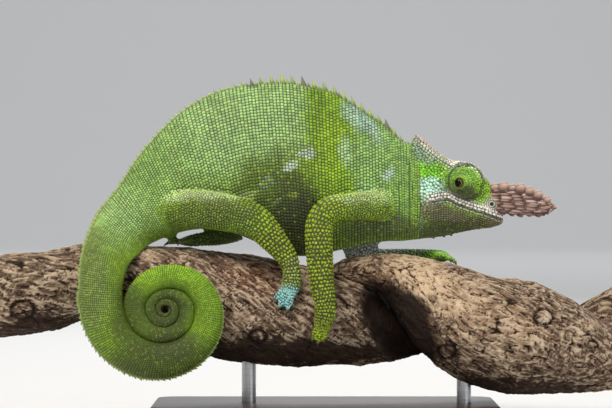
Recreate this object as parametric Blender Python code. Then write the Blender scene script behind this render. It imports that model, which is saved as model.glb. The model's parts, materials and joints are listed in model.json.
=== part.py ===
"""A two-horned Fischer's chameleon gripping a length of twisted branch, as a still, life-size display model.

Metres, +Z up. The head points to +X and the animal's right side faces -Y. The origin is the middle of the
bounding box, at the underside of the stand's base. The tables below hold millimetres.
"""

import math
import random

import bmesh
import bpy
from mathutils import Vector
from mathutils.bvhtree import BVHTree

# Scale, clearances and fineness
MM = 0.001
TAU = 2 * math.pi
GAP = 0.3
ROW_STEPS = 2
TRUNK_SIDES = 24
TAIL_SIDES = 12
LIMB_SIDES = 12
DIGIT_SIDES = 6
STEM_SIDES = 22
STEM_STEPS = 1
FINE_BALL = (18, 10)
COARSE_BALL = (10, 6)
SMALL_BALL = (8, 4)
ACROSS = Vector((0, 1, 0))
UP = Vector((0, 0, 1))
SEED = 11
SHARP_DEGREES = 50

# Trunk from the tail's root to the back of the head: top x, top z, bottom x, bottom z, middle y, half width
TRUNK = [
    (-82.3, 93.2, -64.7, 74.3, 0.0, 7.8),
    (-78.1, 98.7, -60.5, 76.2, 0.0, 8.4),
    (-71.8, 108.8, -55.0, 78.2, 0.0, 9.4),
    (-65.5, 116.8, -48.7, 79.8, 0.0, 10.5),
    (-57.1, 125.6, -41.2, 80.4, 0.0, 11.6),
    (-48.7, 132.3, -34.0, 79.6, 0.0, 12.4),
    (-38.2, 137.8, -26.5, 77.2, 0.0, 13.0),
    (-27.7, 140.7, -18.5, 73.6, 0.0, 13.4),
    (-18.5, 142.0, -10.9, 70.1, 0.0, 13.4),
    (-9.2, 142.2, -3.4, 68.9, 0.0, 13.1),
    (0.4, 140.9, 4.2, 69.3, 0.0, 12.6),
    (10.1, 138.6, 12.2, 71.0, 0.0, 11.9),
    (18.9, 133.6, 19.7, 72.7, 0.0, 11.1),
    (26.5, 128.5, 26.9, 74.3, 0.0, 10.4),
    (33.2, 124.3, 34.4, 75.2, 0.0, 9.8),
    (38.8, 119.0, 39.2, 75.2, 0.0, 9.4),
    (43.5, 116.2, 43.5, 75.6, 0.0, 9.6),
]
NECK_FROM = 14
TRUNK_BELLY = 0.28

# Tail from the trunk down to the start of its coil, in the same columns
TAIL_ROOT = [
    (-82.3, 93.2, -64.7, 74.3, 0.0, 7.8),
    (-86.5, 87.8, -67.6, 72.2, -3.0, 7.6),
    (-89.8, 80.3, -70.5, 69.0, -10.5, 7.5),
    (-92.2, 72.4, -73.1, 65.8, -17.2, 7.4),
    (-93.1, 64.7, -74.5, 61.4, -22.0, 7.2),
    (-93.3, 56.9, -75.4, 55.6, -24.3, 7.0),
]

# Coil of the tail: its outer radius at each quarter turn, from the animal's rear, going down and forward
COIL_CENTRE = Vector((-57.8, -25.0, 48.2))
COIL_RADII = (35.5, 29.1, 23.5, 18.2, 17.7, 14.7, 12.2, 8.7, 9.1, 8.2, 5.8, 4.4, 4.7, 4.0, 2.1)
COIL_GAP = 0.5
COIL_DEPTH = 0.4
QUARTER_STEPS = 5
TIP_WIDTH = 1.6
TAIL_CUTS = (0, 2, 4, 7, 10, 14)

# Crest along the back and the tail
CREST_FRONT_FROM = -24.0
CREST_FRONT_HEIGHT = 3.7
CREST_FRONT_SPACING = 4.9
CREST_REAR_HEIGHT = 2.0
CREST_REAR_SPACING = 2.8
CREST_TAIL_HEIGHT = 1.5
CREST_TAIL_SPACING = 2.6
CREST_SIDES = 4
CREST_BLEND = 16.0
CREST_FADE = 22.0
CREST_LEAST = 0.7
CREST_SMALL = 0.6
CREST_WIDTH = 0.22
CREST_WIDTH_LEAST = 0.3
CREST_FLATNESS = 0.75
CREST_SINK = 0.9
CREST_LEAN = 0.45
CREST_MARGIN = 1.6
CREST_UNEVEN = (0.9, 1.1)
CREST_UNEVEN_SPACING = (0.94, 1.06)
CRESTED_TAIL_LENGTHS = 3

# Head sections from the nape to the snout's tip: x, then height and half width at the crown, the side crest,
# the cheek, the lip, the jaw and the chin
HEAD = [
    (43.8, 116.0, 113.0, 5.6, 97.0, 9.4, 90.7, 9.5, 82.3, 7.2, 75.6),
    (45.6, 120.6, 115.6, 4.6, 97.0, 9.7, 91.1, 9.8, 82.3, 7.4, 75.7),
    (48.7, 119.2, 114.9, 5.4, 97.0, 10.1, 91.6, 10.0, 82.7, 7.5, 76.0),
    (52.9, 115.4, 111.4, 6.4, 97.9, 10.2, 92.2, 10.0, 83.2, 7.3, 76.4),
    (57.1, 112.2, 108.4, 7.0, 98.7, 9.8, 92.6, 9.7, 83.8, 6.9, 76.9),
    (61.3, 109.8, 107.0, 7.2, 99.1, 9.2, 92.0, 9.2, 84.0, 6.4, 77.7),
    (66.8, 109.2, 106.3, 7.0, 98.6, 8.6, 89.8, 8.5, 83.8, 5.8, 79.0),
    (72.2, 107.2, 104.4, 6.0, 96.0, 7.6, 87.8, 7.4, 83.6, 5.0, 80.0),
    (76.4, 101.6, 99.0, 4.8, 93.0, 6.2, 86.6, 6.1, 83.4, 4.0, 80.4),
    (79.8, 95.6, 93.8, 3.8, 90.2, 4.8, 85.3, 4.6, 83.2, 3.0, 81.2),
    (82.0, 90.2, 89.0, 2.4, 87.2, 3.0, 84.6, 3.0, 83.3, 2.0, 82.0),
    (83.0, 86.6, 86.0, 1.0, 85.4, 1.4, 84.4, 1.4, 83.6, 1.0, 82.9),
]
HEAD_STEPS = 2
HEAD_RING_STEPS = 2

# Eye turrets, the opening between the lids, and the snout's details
TURRET_CENTRE = (66.8, 7.4, 100.4)
TURRET_RADIUS = 6.9
TURRET_BULGE = 5.4
LID_OPENING = (63.9, 12.3, 100.0)
EYE_RADIUS = 1.9
EYE_DEPTH = 1.4
LID_RIM = 0.55
LID_FOOT = 3.4
LID_BLUNTNESS = 0.72
LID_SIDES = 14
NOSTRIL = (77.3, 91.0)
NOSTRIL_SHIELD = 2.6
NOSTRIL_RADIUS = 0.55
CASQUE_TIP = (45.9, 0.0, 121.6)
CASQUE_ROOT = (46.9, 0.0, 117.0)
CASQUE_HALF = (1.8, 1.5)
SIDE_CREST = ((46.8, 117.4), (50.5, 114.2), (54.5, 111.0), (58.4, 108.4), (61.6, 106.6))
SIDE_CREST_RADIUS = 1.3
BROW = ((61.2, 106.8), (64.6, 108.2), (68.6, 107.8), (72.2, 105.4), (74.6, 102.2))
BROW_RADIUS = 1.1
MOUTH = (
    (52.1, 92.0),
    (56.3, 92.8),
    (59.6, 92.8),
    (62.6, 91.2),
    (66.8, 89.6),
    (71.0, 88.2),
    (75.2, 87.0),
    (79.4, 85.4),
    (82.0, 84.6),
)
UPPER_LIP_RISE = 1.3
UPPER_LIP_RADIUS = 1.15
LOWER_LIP_DROP = 1.2
LOWER_LIP_RADIUS = 0.9
MOUTH_CUT = 0.35
CHEEK_LOBE = (53.5, 8.6, 94.9)
CHEEK_LOBE_SIZE = (5.4, 2.6, 3.3)
NOSTRIL_OUT = 4.2
NOSTRIL_BULGE = 1.9
NOSTRIL_DEEP = 0.9
LIP_SINK = 0.55
LID_TURN = 0.4
LID_STAND = 0.35
RIDGE_END = 0.45
RIDGE_SIDES = 6
FAR_OUT = 60.0

# Horns: x, upper edge z, lower edge z, sideways place, half thickness
HORN = [
    (73.5, 96.5, 89.5, 3.0, 1.5),
    (77.5, 97.6, 88.2, 3.3, 2.0),
    (81.5, 97.8, 87.2, 3.6, 2.1),
    (86.0, 97.6, 86.4, 3.9, 2.0),
    (90.5, 97.0, 86.2, 4.2, 1.9),
    (94.5, 95.6, 86.2, 4.5, 1.7),
    (98.5, 93.6, 86.4, 4.7, 1.5),
    (102.0, 91.8, 87.4, 4.9, 1.1),
    (105.0, 89.8, 89.0, 5.0, 0.5),
]
HORN_SIDES = 8
FAR_HORN_RISE = 0.9
TOP_TUBERCLES = 7
TOP_TUBERCLES_FROM = 0.22
TOP_TUBERCLES_TO = 0.92
TUBERCLE = 2.1
TUBERCLE_THINNING = 0.4
TUBERCLE_SINK = 1.0
TUBERCLE_STAND = 0.75
TUBERCLE_LEAN = 0.55
TUBERCLE_FLATNESS = 0.8
TUBERCLE_BLUNTNESS = 0.6
SIDE_TUBERCLES = 5
SIDE_TUBERCLES_FROM = 0.3
SIDE_TUBERCLES_TO = 0.84
SIDE_TUBERCLE_LEVELS = (-0.3, 0.3)
SIDE_TUBERCLE_HALF = (2.2, 1.1)
SIDE_TUBERCLE_STAND = 0.45
SIDE_TUBERCLE_BLUNTNESS = 0.62
ALONG = Vector((1, 0, 0))
UNEVEN = (0.85, 1.15)

# Limbs: x, y, z, half height across the limb, half depth. The first rows are inside the trunk.
ARM_RIGHT = [
    (36.1, -3.0, 91.1, 6.0, 4.0),
    (30.2, -10.3, 90.7, 6.1, 4.3),
    (22.7, -13.2, 90.3, 5.9, 4.5),
    (15.1, -15.8, 90.0, 5.7, 4.5),
    (9.0, -18.0, 88.4, 5.8, 4.6),
    (5.9, -19.8, 83.2, 6.1, 4.7),
    (5.4, -21.0, 76.2, 6.0, 4.8),
    (5.8, -21.8, 67.1, 5.7, 4.7),
    (6.6, -22.6, 57.6, 5.2, 4.5),
    (7.8, -23.4, 50.4, 4.7, 4.2),
    (7.9, -23.6, 45.6, 4.6, 3.7),
    (7.0, -23.4, 41.6, 4.0, 3.0),
    (6.2, -22.8, 39.0, 2.4, 1.8),
]
ARM_RIGHT_CUTS = (0, 5, 9, 12)
LEG_RIGHT = [
    (-60.0, -3.0, 89.9, 7.0, 4.5),
    (-52.9, -9.5, 89.0, 7.6, 5.2),
    (-44.5, -13.3, 88.6, 7.9, 5.6),
    (-35.3, -15.8, 87.8, 8.1, 5.8),
    (-26.5, -17.6, 86.4, 7.9, 5.8),
    (-19.7, -18.8, 82.8, 7.0, 5.5),
    (-14.3, -19.5, 77.1, 5.9, 5.0),
    (-9.4, -20.0, 71.2, 4.9, 4.4),
    (-6.4, -20.2, 66.0, 4.2, 4.0),
    (-5.8, -20.3, 61.0, 4.1, 3.7),
    (-6.4, -20.4, 56.6, 4.3, 3.0),
    (-7.2, -20.4, 53.8, 2.6, 1.8),
]
LEG_RIGHT_CUTS = (0, 5, 8, 11)
ARM_LEFT = [
    (35.0, 2.0, 88.0, 5.4, 4.0),
    (31.5, 9.0, 83.6, 5.2, 4.2),
    (27.0, 13.0, 77.0, 4.9, 4.1),
    (21.6, 15.4, 71.6, 4.6, 4.0),
    (17.6, 16.4, 68.4, 4.4, 3.9),
]
FOREARM_LEFT = [
    (16.8, 16.2, 67.6, 4.2, 3.8),
    (24.0, 15.4, 68.4, 3.9, 3.6),
    (33.0, 14.0, 68.9, 3.6, 3.4),
    (43.0, 11.6, 69.0, 3.4, 3.3),
    (50.0, 8.6, 69.0, 3.3, 3.2),
    (54.4, 5.0, 69.0, 3.4, 3.0),
    (57.6, 1.6, 69.1, 3.0, 2.6),
    (59.4, -0.6, 69.0, 1.6, 1.5),
]
FOREARM_LEFT_CUTS = (0, 4, 7)
THIGH_LEFT = [
    (-56.0, 3.0, 89.0, 6.6, 4.4),
    (-50.0, 9.0, 88.4, 7.0, 5.0),
    (-42.0, 12.8, 87.0, 6.8, 5.0),
    (-35.0, 15.0, 85.0, 6.2, 4.8),
    (-29.4, 16.0, 82.6, 5.2, 4.4),
    (-26.6, 16.2, 81.0, 3.4, 3.0),
]
SHANK_LEFT = [
    (-27.4, 15.8, 79.4, 4.0, 3.6),
    (-32.0, 14.6, 78.2, 4.4, 3.9),
    (-38.0, 11.6, 77.0, 4.0, 3.6),
    (-43.0, 8.6, 76.4, 3.2, 3.1),
    (-47.6, 6.0, 75.8, 2.8, 2.8),
    (-51.0, 4.6, 75.4, 2.3, 2.2),
    (-53.0, 4.0, 75.2, 1.4, 1.3),
]
SHANK_LEFT_CUTS = (0, 3, 6)

# Digits: the points each follows from the palm to its last joint, then the claw's tip
HAND_RIGHT_DIGITS = [
    ((9.6, -23.4, 43.6), (8.8, -23.2, 38.8), (7.6, -22.4, 35.2), (6.9, -21.2, 32.6)),
    ((7.2, -23.8, 42.8), (6.2, -23.4, 37.8), (5.1, -22.5, 34.4), (4.3, -21.2, 31.8)),
    ((5.2, -23.4, 43.0), (3.9, -23.0, 38.8), (2.9, -22.2, 35.8), (2.1, -21.0, 33.4)),
]
FOOT_RIGHT_DIGITS = [
    ((-7.4, -20.4, 57.2), (-10.6, -20.0, 54.6), (-13.0, -19.6, 52.2), (-15.0, -19.6, 50.2)),
    ((-7.0, -20.8, 55.4), (-9.2, -21.0, 51.8), (-11.2, -21.0, 48.8), (-12.6, -21.2, 46.6)),
    ((-5.4, -20.8, 55.2), (-6.2, -21.4, 51.2), (-7.6, -21.6, 47.8), (-8.6, -21.8, 45.4)),
]
HAND_LEFT_DIGITS = [
    ((57.4, 1.6, 69.2), (60.2, -1.2, 68.4), (62.2, -4.0, 67.2), (63.2, -6.0, 66.0)),
    ((56.4, 0.8, 69.2), (58.4, -3.0, 69.0), (60.0, -6.2, 68.2), (60.8, -8.2, 67.2)),
    ((55.0, 2.0, 69.4), (55.6, -2.0, 69.8), (56.4, -5.4, 69.6), (56.8, -7.6, 68.8)),
]
FOOT_LEFT_DIGITS = [
    ((-50.0, 5.4, 75.4), (-54.0, 5.6, 75.2), (-57.6, 6.0, 74.8), (-60.0, 6.2, 74.2)),
    ((-50.0, 4.0, 75.4), (-54.0, 2.0, 75.4), (-57.2, 0.4, 75.2), (-59.2, -0.8, 74.6)),
    ((-48.6, 3.4, 75.6), (-50.8, -0.6, 75.6), (-52.8, -3.6, 75.2), (-54.0, -5.6, 74.4)),
]
DIGIT_RADIUS = 1.7
DIGIT_MIDDLE_DEPTH = 1.6
DIGIT_END = 1.15
DIGIT_TIP_REACH = 0.9
DIGIT_TIP = 0.6
CLAW_RADIUS = 0.7
CLAW_BLUNTNESS = 0.3

# Branch: x, y, z, radius of each of its two twisted stems
STEM_A = [
    (-140.0, 4.0, 50.2, 17.8),
    (-130.0, 4.0, 51.5, 17.6),
    (-120.0, 4.0, 53.1, 17.4),
    (-107.5, 4.0, 55.4, 16.9),
    (-94.9, 4.0, 58.4, 16.0),
    (-82.3, 4.0, 57.5, 16.6),
    (-67.6, 4.0, 55.2, 18.3),
    (-52.9, 3.0, 52.7, 20.6),
    (-39.9, 2.5, 50.6, 22.0),
    (-27.7, 2.5, 47.0, 23.0),
    (-15.1, 2.0, 44.7, 22.5),
    (-2.5, 2.0, 44.1, 21.4),
    (12.2, 3.0, 43.3, 20.0),
    (24.8, 6.0, 41.0, 18.0),
    (37.4, 11.0, 40.0, 15.6),
    (50.0, 18.0, 40.6, 13.4),
    (64.7, 26.0, 39.0, 12.0),
    (81.5, 30.0, 35.0, 12.0),
    (98.3, 29.0, 31.5, 12.2),
    (112.0, 25.0, 31.6, 12.8),
    (122.0, 19.0, 36.0, 13.4),
    (131.0, 14.0, 41.4, 13.8),
    (142.0, 8.0, 49.0, 14.0),
]
STEM_B = [
    (10.1, -1.0, 62.2, 2.6),
    (16.4, -1.5, 63.6, 4.8),
    (22.7, -2.0, 64.2, 5.8),
    (29.0, -3.0, 63.4, 7.3),
    (34.4, -4.0, 62.0, 9.0),
    (40.3, -4.5, 59.6, 11.6),
    (47.9, -5.0, 54.0, 15.8),
    (56.3, -6.0, 48.3, 19.5),
    (64.7, -6.5, 42.8, 21.9),
    (73.1, -7.0, 39.6, 23.2),
    (81.5, -7.0, 37.2, 24.0),
    (89.9, -7.0, 34.9, 24.0),
    (98.3, -7.0, 33.0, 22.8),
    (106.7, -7.0, 31.1, 20.4),
    (115.1, -7.0, 28.3, 17.2),
    (123.5, -7.0, 25.8, 13.4),
    (131.0, -7.0, 24.6, 10.8),
    (141.0, -7.0, 24.6, 10.0),
]
BARK_RIDGES = ((3, 0.035), (5, 0.022), (8, 0.014))
BARK_TWIST = 0.035
PERCH_HALF_LENGTH = 132.0
SAW_SIZE = 200.0
SLIVERS = (0.06, 0.02, 0.002)

# Stand
BASE_LENGTH = 144.0
BASE_MIDDLE_X = 8.0
BASE_DEPTH = 86.0
BASE_THICK = 8.0
BASE_CORNER = 9.0
BASE_EDGE = 1.0
BASE_CORNER_STEPS = 5
ROD_RADIUS = 3.0
ROD_SIDES = 20
RODS = {"stand_rod_rear": (-24.0, 2.5, 34.0), "stand_rod_front": (66.0, -6.6, 32.0)}

# Colour, roughness and metal of each finish
FINISHES = {
    "green_skin": ((0.20, 0.38, 0.06), 0.55, 0.0),
    "leg_skin": ((0.30, 0.42, 0.05), 0.55, 0.0),
    "toe_skin": ((0.35, 0.62, 0.66), 0.55, 0.0),
    "horn": ((0.33, 0.20, 0.17), 0.6, 0.0),
    "eye": ((0.01, 0.01, 0.01), 0.15, 0.0),
    "bark": ((0.25, 0.15, 0.08), 0.85, 0.0),
    "stand_wood": ((0.05, 0.03, 0.02), 0.4, 0.0),
    "stand_steel": ((0.55, 0.55, 0.56), 0.3, 1.0),
}


def between(four, u):
    """The Catmull-Rom row at fraction u between the second and the third of four rows."""
    return [
        0.5 * (2 * q + (r - p) * u + (2 * p - 5 * q + 4 * r - s) * u**2 + (3 * q - p - 3 * r + s) * u**3)
        for p, q, r, s in zip(*four)
    ]


def flow(rows, steps):
    """Rows on a smooth curve through the given ones, `steps` for each gap between them."""
    before = [2 * a - b for a, b in zip(rows[0], rows[1])]
    after = [2 * a - b for a, b in zip(rows[-1], rows[-2])]
    padded = [before, *rows, after]
    fine = []
    for i in range(1, len(padded) - 2):
        fine += [between(padded[i - 1 : i + 3], step / steps) for step in range(steps)]
    return [*fine, list(rows[-1])]


def middle(points):
    return sum(points, Vector()) / len(points)


def collection_named(name):
    found = bpy.data.collections.get(name)
    if found is None:
        found = bpy.data.collections.new(name)
        bpy.context.scene.collection.children.link(found)
    return found


def finish_of(name):
    """The named finish as a Principled material."""
    found = bpy.data.materials.get(name)
    if found:
        return found
    colour, roughness, metallic = FINISHES[name]
    made = bpy.data.materials.new(name)
    made.use_nodes = True
    shader = made.node_tree.nodes["Principled BSDF"]
    shader.inputs["Base Color"].default_value = (*colour, 1)
    shader.inputs["Roughness"].default_value = roughness
    shader.inputs["Metallic"].default_value = metallic
    return made


def body_from(name, bm, finish=None):
    """Makes an object of a closed bmesh given in millimetres."""
    bmesh.ops.triangulate(bm, faces=bm.faces)
    bmesh.ops.recalc_face_normals(bm, faces=bm.faces)
    bmesh.ops.scale(bm, vec=(MM, MM, MM), verts=bm.verts)
    mesh = bpy.data.meshes.new(name)
    bm.to_mesh(mesh)
    bm.free()
    obj = bpy.data.objects.new(name, mesh)
    if finish:
        mesh.materials.append(finish_of(finish))
    collection_named("chameleon").objects.link(obj)
    return obj


def loft(name, rings, finish=None):
    """A closed body through rings of points, its two ends closed by fans."""
    bm = bmesh.new()
    verts = [[bm.verts.new(point) for point in ring] for ring in rings]
    for near, far in zip(verts, verts[1:]):
        for i in range(len(near)):
            bm.faces.new((near[i - 1], near[i], far[i], far[i - 1]))
    for ring in (verts[0], verts[-1]):
        hub = bm.verts.new(middle([v.co for v in ring]))
        for i in range(len(ring)):
            bm.faces.new((ring[i - 1], ring[i], hub))
    return body_from(name, bm, finish)


def ball(name, centre, sizes, sides, rings):
    """An ellipsoid with the given half sizes."""
    bm = bmesh.new()
    bmesh.ops.create_uvsphere(bm, u_segments=sides, v_segments=rings, radius=1)
    for vert in bm.verts:
        place = Vector([c * s for c, s in zip(vert.co, sizes)])
        vert.co = place + Vector(centre)
    return body_from(name, bm)


def spike(name, root, tip, wide, thick, across=ACROSS, sides=CREST_SIDES, blunt=0.0):
    """A tapered spike from root to tip: half sizes `wide` in its own plane and `thick` along `across`."""
    root = Vector(root)
    tip = Vector(tip)
    along = (tip - root).normalized()
    flat = across.cross(along).normalized()
    deep = along.cross(flat)
    bm = bmesh.new()
    foot = []
    for i in range(sides):
        angle = TAU * i / sides
        foot.append(bm.verts.new(root + flat * wide * math.cos(angle) + deep * thick * math.sin(angle)))
    bm.faces.new(foot)
    if blunt:
        top = []
        for i in range(sides):
            angle = TAU * i / sides
            top.append(
                bm.verts.new(
                    tip + flat * wide * blunt * math.cos(angle) + deep * thick * blunt * math.sin(angle)
                )
            )
        bm.faces.new(top)
        for i in range(sides):
            bm.faces.new((foot[i - 1], foot[i], top[i], top[i - 1]))
    else:
        point = bm.verts.new(tip)
        for i in range(sides):
            bm.faces.new((foot[i - 1], foot[i], point))
    return body_from(name, bm)


def remove(obj):
    mesh = obj.data
    bpy.data.objects.remove(obj)
    bpy.data.meshes.remove(mesh)


def keep_largest(mesh):
    """Keeps only the closed surface that spans most, and drops sealed hollows and loose scraps."""
    bm = bmesh.new()
    bm.from_mesh(mesh)
    left = set(bm.verts)
    shells = []
    while left:
        shell = set()
        front = [left.pop()]
        while front:
            vert = front.pop()
            shell.add(vert)
            for edge in vert.link_edges:
                other = edge.other_vert(vert)
                if other in left:
                    left.discard(other)
                    front.append(other)
        shells.append(shell)
    if len(shells) > 1:
        largest = max(shells, key=len)
        loose = [vert for vert in bm.verts if vert not in largest]
        bmesh.ops.delete(bm, geom=loose, context="VERTS")
        bm.to_mesh(mesh)
    bm.free()


def boolean(obj, others, operation, solver="MANIFOLD"):
    """Applies one Boolean with a collection of other bodies, which are then removed."""
    held = bpy.data.collections.new("held")
    for other in others:
        held.objects.link(other)
    bpy.context.view_layer.update()
    modifier = obj.modifiers.new(operation.lower(), "BOOLEAN")
    modifier.operation = operation
    modifier.solver = solver
    modifier.operand_type = "COLLECTION"
    modifier.collection = held
    graph = bpy.context.evaluated_depsgraph_get()
    made = bpy.data.meshes.new_from_object(obj.evaluated_get(graph))
    old = obj.data
    obj.modifiers.clear()
    obj.data = made
    made.name = obj.name
    bpy.data.meshes.remove(old)
    for other in others:
        remove(other)
    bpy.data.collections.remove(held)
    finish = made.materials[0] if made.materials else None
    made.materials.clear()
    if finish:
        made.materials.append(finish)
    made.polygons.foreach_set("material_index", [0] * len(made.polygons))
    clean(made)


def clean(mesh):
    """Closes up the slivers that a Boolean leaves, where the mesh stays closed, and keeps the largest surface."""
    for size in SLIVERS:
        bm = bmesh.new()
        bm.from_mesh(mesh)
        bmesh.ops.remove_doubles(bm, verts=bm.verts, dist=size * MM)
        bmesh.ops.dissolve_degenerate(bm, dist=size * MM, edges=bm.edges)
        bmesh.ops.triangulate(bm, faces=bm.faces)
        closed = all(edge.is_manifold for edge in bm.edges) and all(vert.is_manifold for vert in bm.verts)
        if closed:
            bm.to_mesh(mesh)
        bm.free()
        if closed:
            break
    keep_largest(mesh)


def join(obj, others):
    boolean(obj, others, "UNION")


def cut(obj, others):
    boolean(obj, others, "DIFFERENCE")


def drawn_in(ring, neighbour):
    """The ring moved towards its neighbour by half the clearance between nodes."""
    step = (middle(neighbour) - middle(ring)).normalized() * (GAP / 2)
    return [point + step for point in ring]


def between_cuts(rings, start, end):
    """The rings from one thin cut to the next."""
    part = list(rings[start : end + 1])
    return [drawn_in(part[0], part[1]), *part[1:-1], drawn_in(part[-1], part[-2])]


def deep_ring(row, sides, belly, grow=0.0):
    """An egg-shaped section between its top and bottom points, fullest below its middle."""
    top_x, top_z, low_x, low_z, y, half = row
    top = Vector((top_x, y, top_z))
    low = Vector((low_x, y, low_z))
    rise = (top - low) / 2
    height = rise.length + grow
    rise.normalize()
    ring = []
    for i in range(sides):
        angle = TAU * i / sides
        up = math.cos(angle)
        out = math.sin(angle) * (1 - belly * up)
        ring.append((top + low) / 2 + rise * height * up + ACROSS * (half + grow) * out)
    return ring


def path_rings(rows, sides, grow=0.0, across=ACROSS):
    """Oval sections square to a path: each row is x, y, z, half height and half depth."""
    rings = []
    places = [Vector(row[:3]) for row in rows]
    for i, (place, row) in enumerate(zip(places, rows)):
        along = places[min(i + 1, len(rows) - 1)] - places[max(i - 1, 0)]
        flat = along.cross(across).normalized()
        deep = flat.cross(along).normalized()
        ring = []
        for k in range(sides):
            angle = TAU * k / sides
            ring.append(
                place + flat * (row[3] + grow) * math.cos(angle) + deep * (row[4] + grow) * math.sin(angle)
            )
        rings.append(ring)
    return rings


def trunk_rings(grow=0.0):
    return [deep_ring(row, TRUNK_SIDES, TRUNK_BELLY, grow) for row in flow(TRUNK, ROW_STEPS)]


def stem_rings(rows, grow=0.0):
    """Sections of a stem of the branch, with ridges of bark that wind round it."""
    rings = []
    fine = flow(rows, STEM_STEPS)
    for ring, row in zip(path_rings([(*r, r[3]) for r in fine], STEM_SIDES, grow), fine):
        place = Vector(row[:3])
        ridged = []
        for k, point in enumerate(ring):
            angle = TAU * k / STEM_SIDES + BARK_TWIST * row[0]
            swell = sum(depth * math.sin(count * angle + count) for count, depth in BARK_RIDGES)
            ridged.append(place + (point - place) * (1 + swell))
        rings.append(ridged)
    return rings


def saw(obj, x, side):
    """Cuts a stem square at x, dropping what is past it on that side."""
    bm = bmesh.new()
    bmesh.ops.create_cube(bm, size=SAW_SIZE)
    bmesh.ops.translate(bm, vec=(x + side * SAW_SIZE / 2, 0, SAW_SIZE / 4), verts=bm.verts)
    cut(obj, [body_from("saw", bm)])


def crest(rings, draw, lean, sizes, margin=CREST_MARGIN):
    """Spines along the top of a run of sections: `sizes` gives height and spacing at a place."""
    tops = [ring[0] for ring in rings]
    half = len(rings[0]) // 2
    ups = [(ring[0] - ring[half]).normalized() for ring in rings]
    total = sum((b - a).length for a, b in zip(tops, tops[1:]))
    spines = []
    reach = margin
    small = False
    while reach < total - margin:
        left = reach
        for a, b, up in zip(tops, tops[1:], ups):
            span = (b - a).length
            if left <= span:
                break
            left -= span
        place = a.lerp(b, left / span)
        along = (b - a).normalized()
        height, spacing = sizes(place)
        if height < CREST_LEAST:
            break
        if small:
            height *= CREST_SMALL
        height *= draw.uniform(*CREST_UNEVEN)
        tip = place + up * height + along * height * lean
        wide = height * CREST_WIDTH + CREST_WIDTH_LEAST
        spines.append(spike("spine", place - up * CREST_SINK, tip, wide, wide * CREST_FLATNESS))
        reach += spacing * (1 - CREST_SMALL / 2) * draw.uniform(*CREST_UNEVEN_SPACING)
        small = not small
    return spines


def trunk_crest_sizes(place):
    if place.x > CREST_FRONT_FROM:
        return CREST_FRONT_HEIGHT, CREST_FRONT_SPACING
    share = min(1.0, (CREST_FRONT_FROM - place.x) / CREST_BLEND)
    return (
        CREST_FRONT_HEIGHT + (CREST_REAR_HEIGHT - CREST_FRONT_HEIGHT) * share,
        CREST_FRONT_SPACING + (CREST_REAR_SPACING - CREST_FRONT_SPACING) * share,
    )


def tail_crest_sizes(place):
    """The tail's spines fade out under its first turn."""
    share = max(0.0, (place.x - COIL_CENTRE.x) / CREST_FADE)
    return CREST_TAIL_HEIGHT * (1 - share), CREST_TAIL_SPACING


def make_trunk(draw):
    rings = trunk_rings()
    neck_ring = NECK_FROM * ROW_STEPS
    for name, start, end in (("torso", 0, neck_ring), ("neck", neck_ring, len(rings) - 1)):
        part = between_cuts(rings, start, end)
        body = loft(name, part, "green_skin")
        join(body, crest(part, draw, -CREST_LEAN, trunk_crest_sizes))


def coil_row(quarter, radii):
    """One section of the coil: its outer edge on the coil's radius, its inner edge just off the next turn."""
    angle = math.pi + TAU * quarter / 4
    out = Vector((math.cos(angle), 0, math.sin(angle)))
    steps = round(quarter * QUARTER_STEPS)
    last_full = (len(COIL_RADII) - 5) * QUARTER_STEPS
    inner_step = min(steps, last_full) + 4 * QUARTER_STEPS
    full = radii[min(steps, last_full)] - radii[inner_step] - COIL_GAP
    share = max(0.0, (steps - last_full) / (4 * QUARTER_STEPS))
    width = full + (TIP_WIDTH - full) * share
    outer = COIL_CENTRE + out * radii[steps]
    inner = COIL_CENTRE + out * (radii[steps] - width)
    return (outer.x, outer.z, inner.x, inner.z, COIL_CENTRE.y, width * COIL_DEPTH)


def make_tail(draw):
    radii = [row[0] for row in flow([(radius,) for radius in COIL_RADII], QUARTER_STEPS)]
    coil = [coil_row(i / QUARTER_STEPS, radii) for i in range(len(radii))]
    root = flow([*TAIL_ROOT, coil[0], coil[2]], ROW_STEPS)[: len(TAIL_ROOT) * ROW_STEPS]
    rings = [deep_ring(row, TAIL_SIDES, 0.0) for row in [*root, *coil]]
    first = len(root)
    cuts = [0, *[first + quarter * QUARTER_STEPS for quarter in TAIL_CUTS]]
    for number, (start, end) in enumerate(zip(cuts, cuts[1:]), 1):
        part = between_cuts(rings, start, end)
        body = loft(f"tail_{number}", part, "green_skin")
        if number <= CRESTED_TAIL_LENGTHS:
            spines = crest(part, draw, CREST_LEAN, tail_crest_sizes)
            if spines:
                join(body, spines)
            cut(body, stem_cutters())


def skull_rings(grow=0.0):
    """Sections of the head, smooth through crown, side crest, cheek, lip, jaw and chin on both sides."""
    rings = []
    for row in flow(HEAD, HEAD_STEPS):
        x, crown = row[0], row[1]
        sides = [(row[i], row[i + 1]) for i in (2, 4, 6, 8)]
        outline = [(0.0, crown)]
        outline += [(-width, height) for height, width in sides]
        outline += [(0.0, row[10])]
        outline += [(width, height) for height, width in reversed(sides)]
        count = len(outline)
        centre = Vector((x, 0, (crown + row[10]) / 2))
        ring = []
        for i in range(count):
            four = [outline[(i + k) % count] for k in (-1, 0, 1, 2)]
            for step in range(HEAD_RING_STEPS):
                y, z = between(four, step / HEAD_RING_STEPS)
                point = Vector((x, y, z))
                ring.append(point + (point - centre).normalized() * grow)
        rings.append(ring)
    for point in rings[-1]:
        point.x += grow
    return rings


def surface_tree(obj):
    mesh = obj.data
    return BVHTree.FromPolygons(
        [v.co / MM for v in mesh.vertices], [tuple(p.vertices) for p in mesh.polygons]
    )


def on_side(tree, x, z, side):
    """The point of a surface that is met at x, z when coming from one side."""
    hit = tree.ray_cast(Vector((x, side * FAR_OUT, z)), Vector((0, -side, 0)))[0]
    return hit if hit else Vector((x, 0, z))


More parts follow.
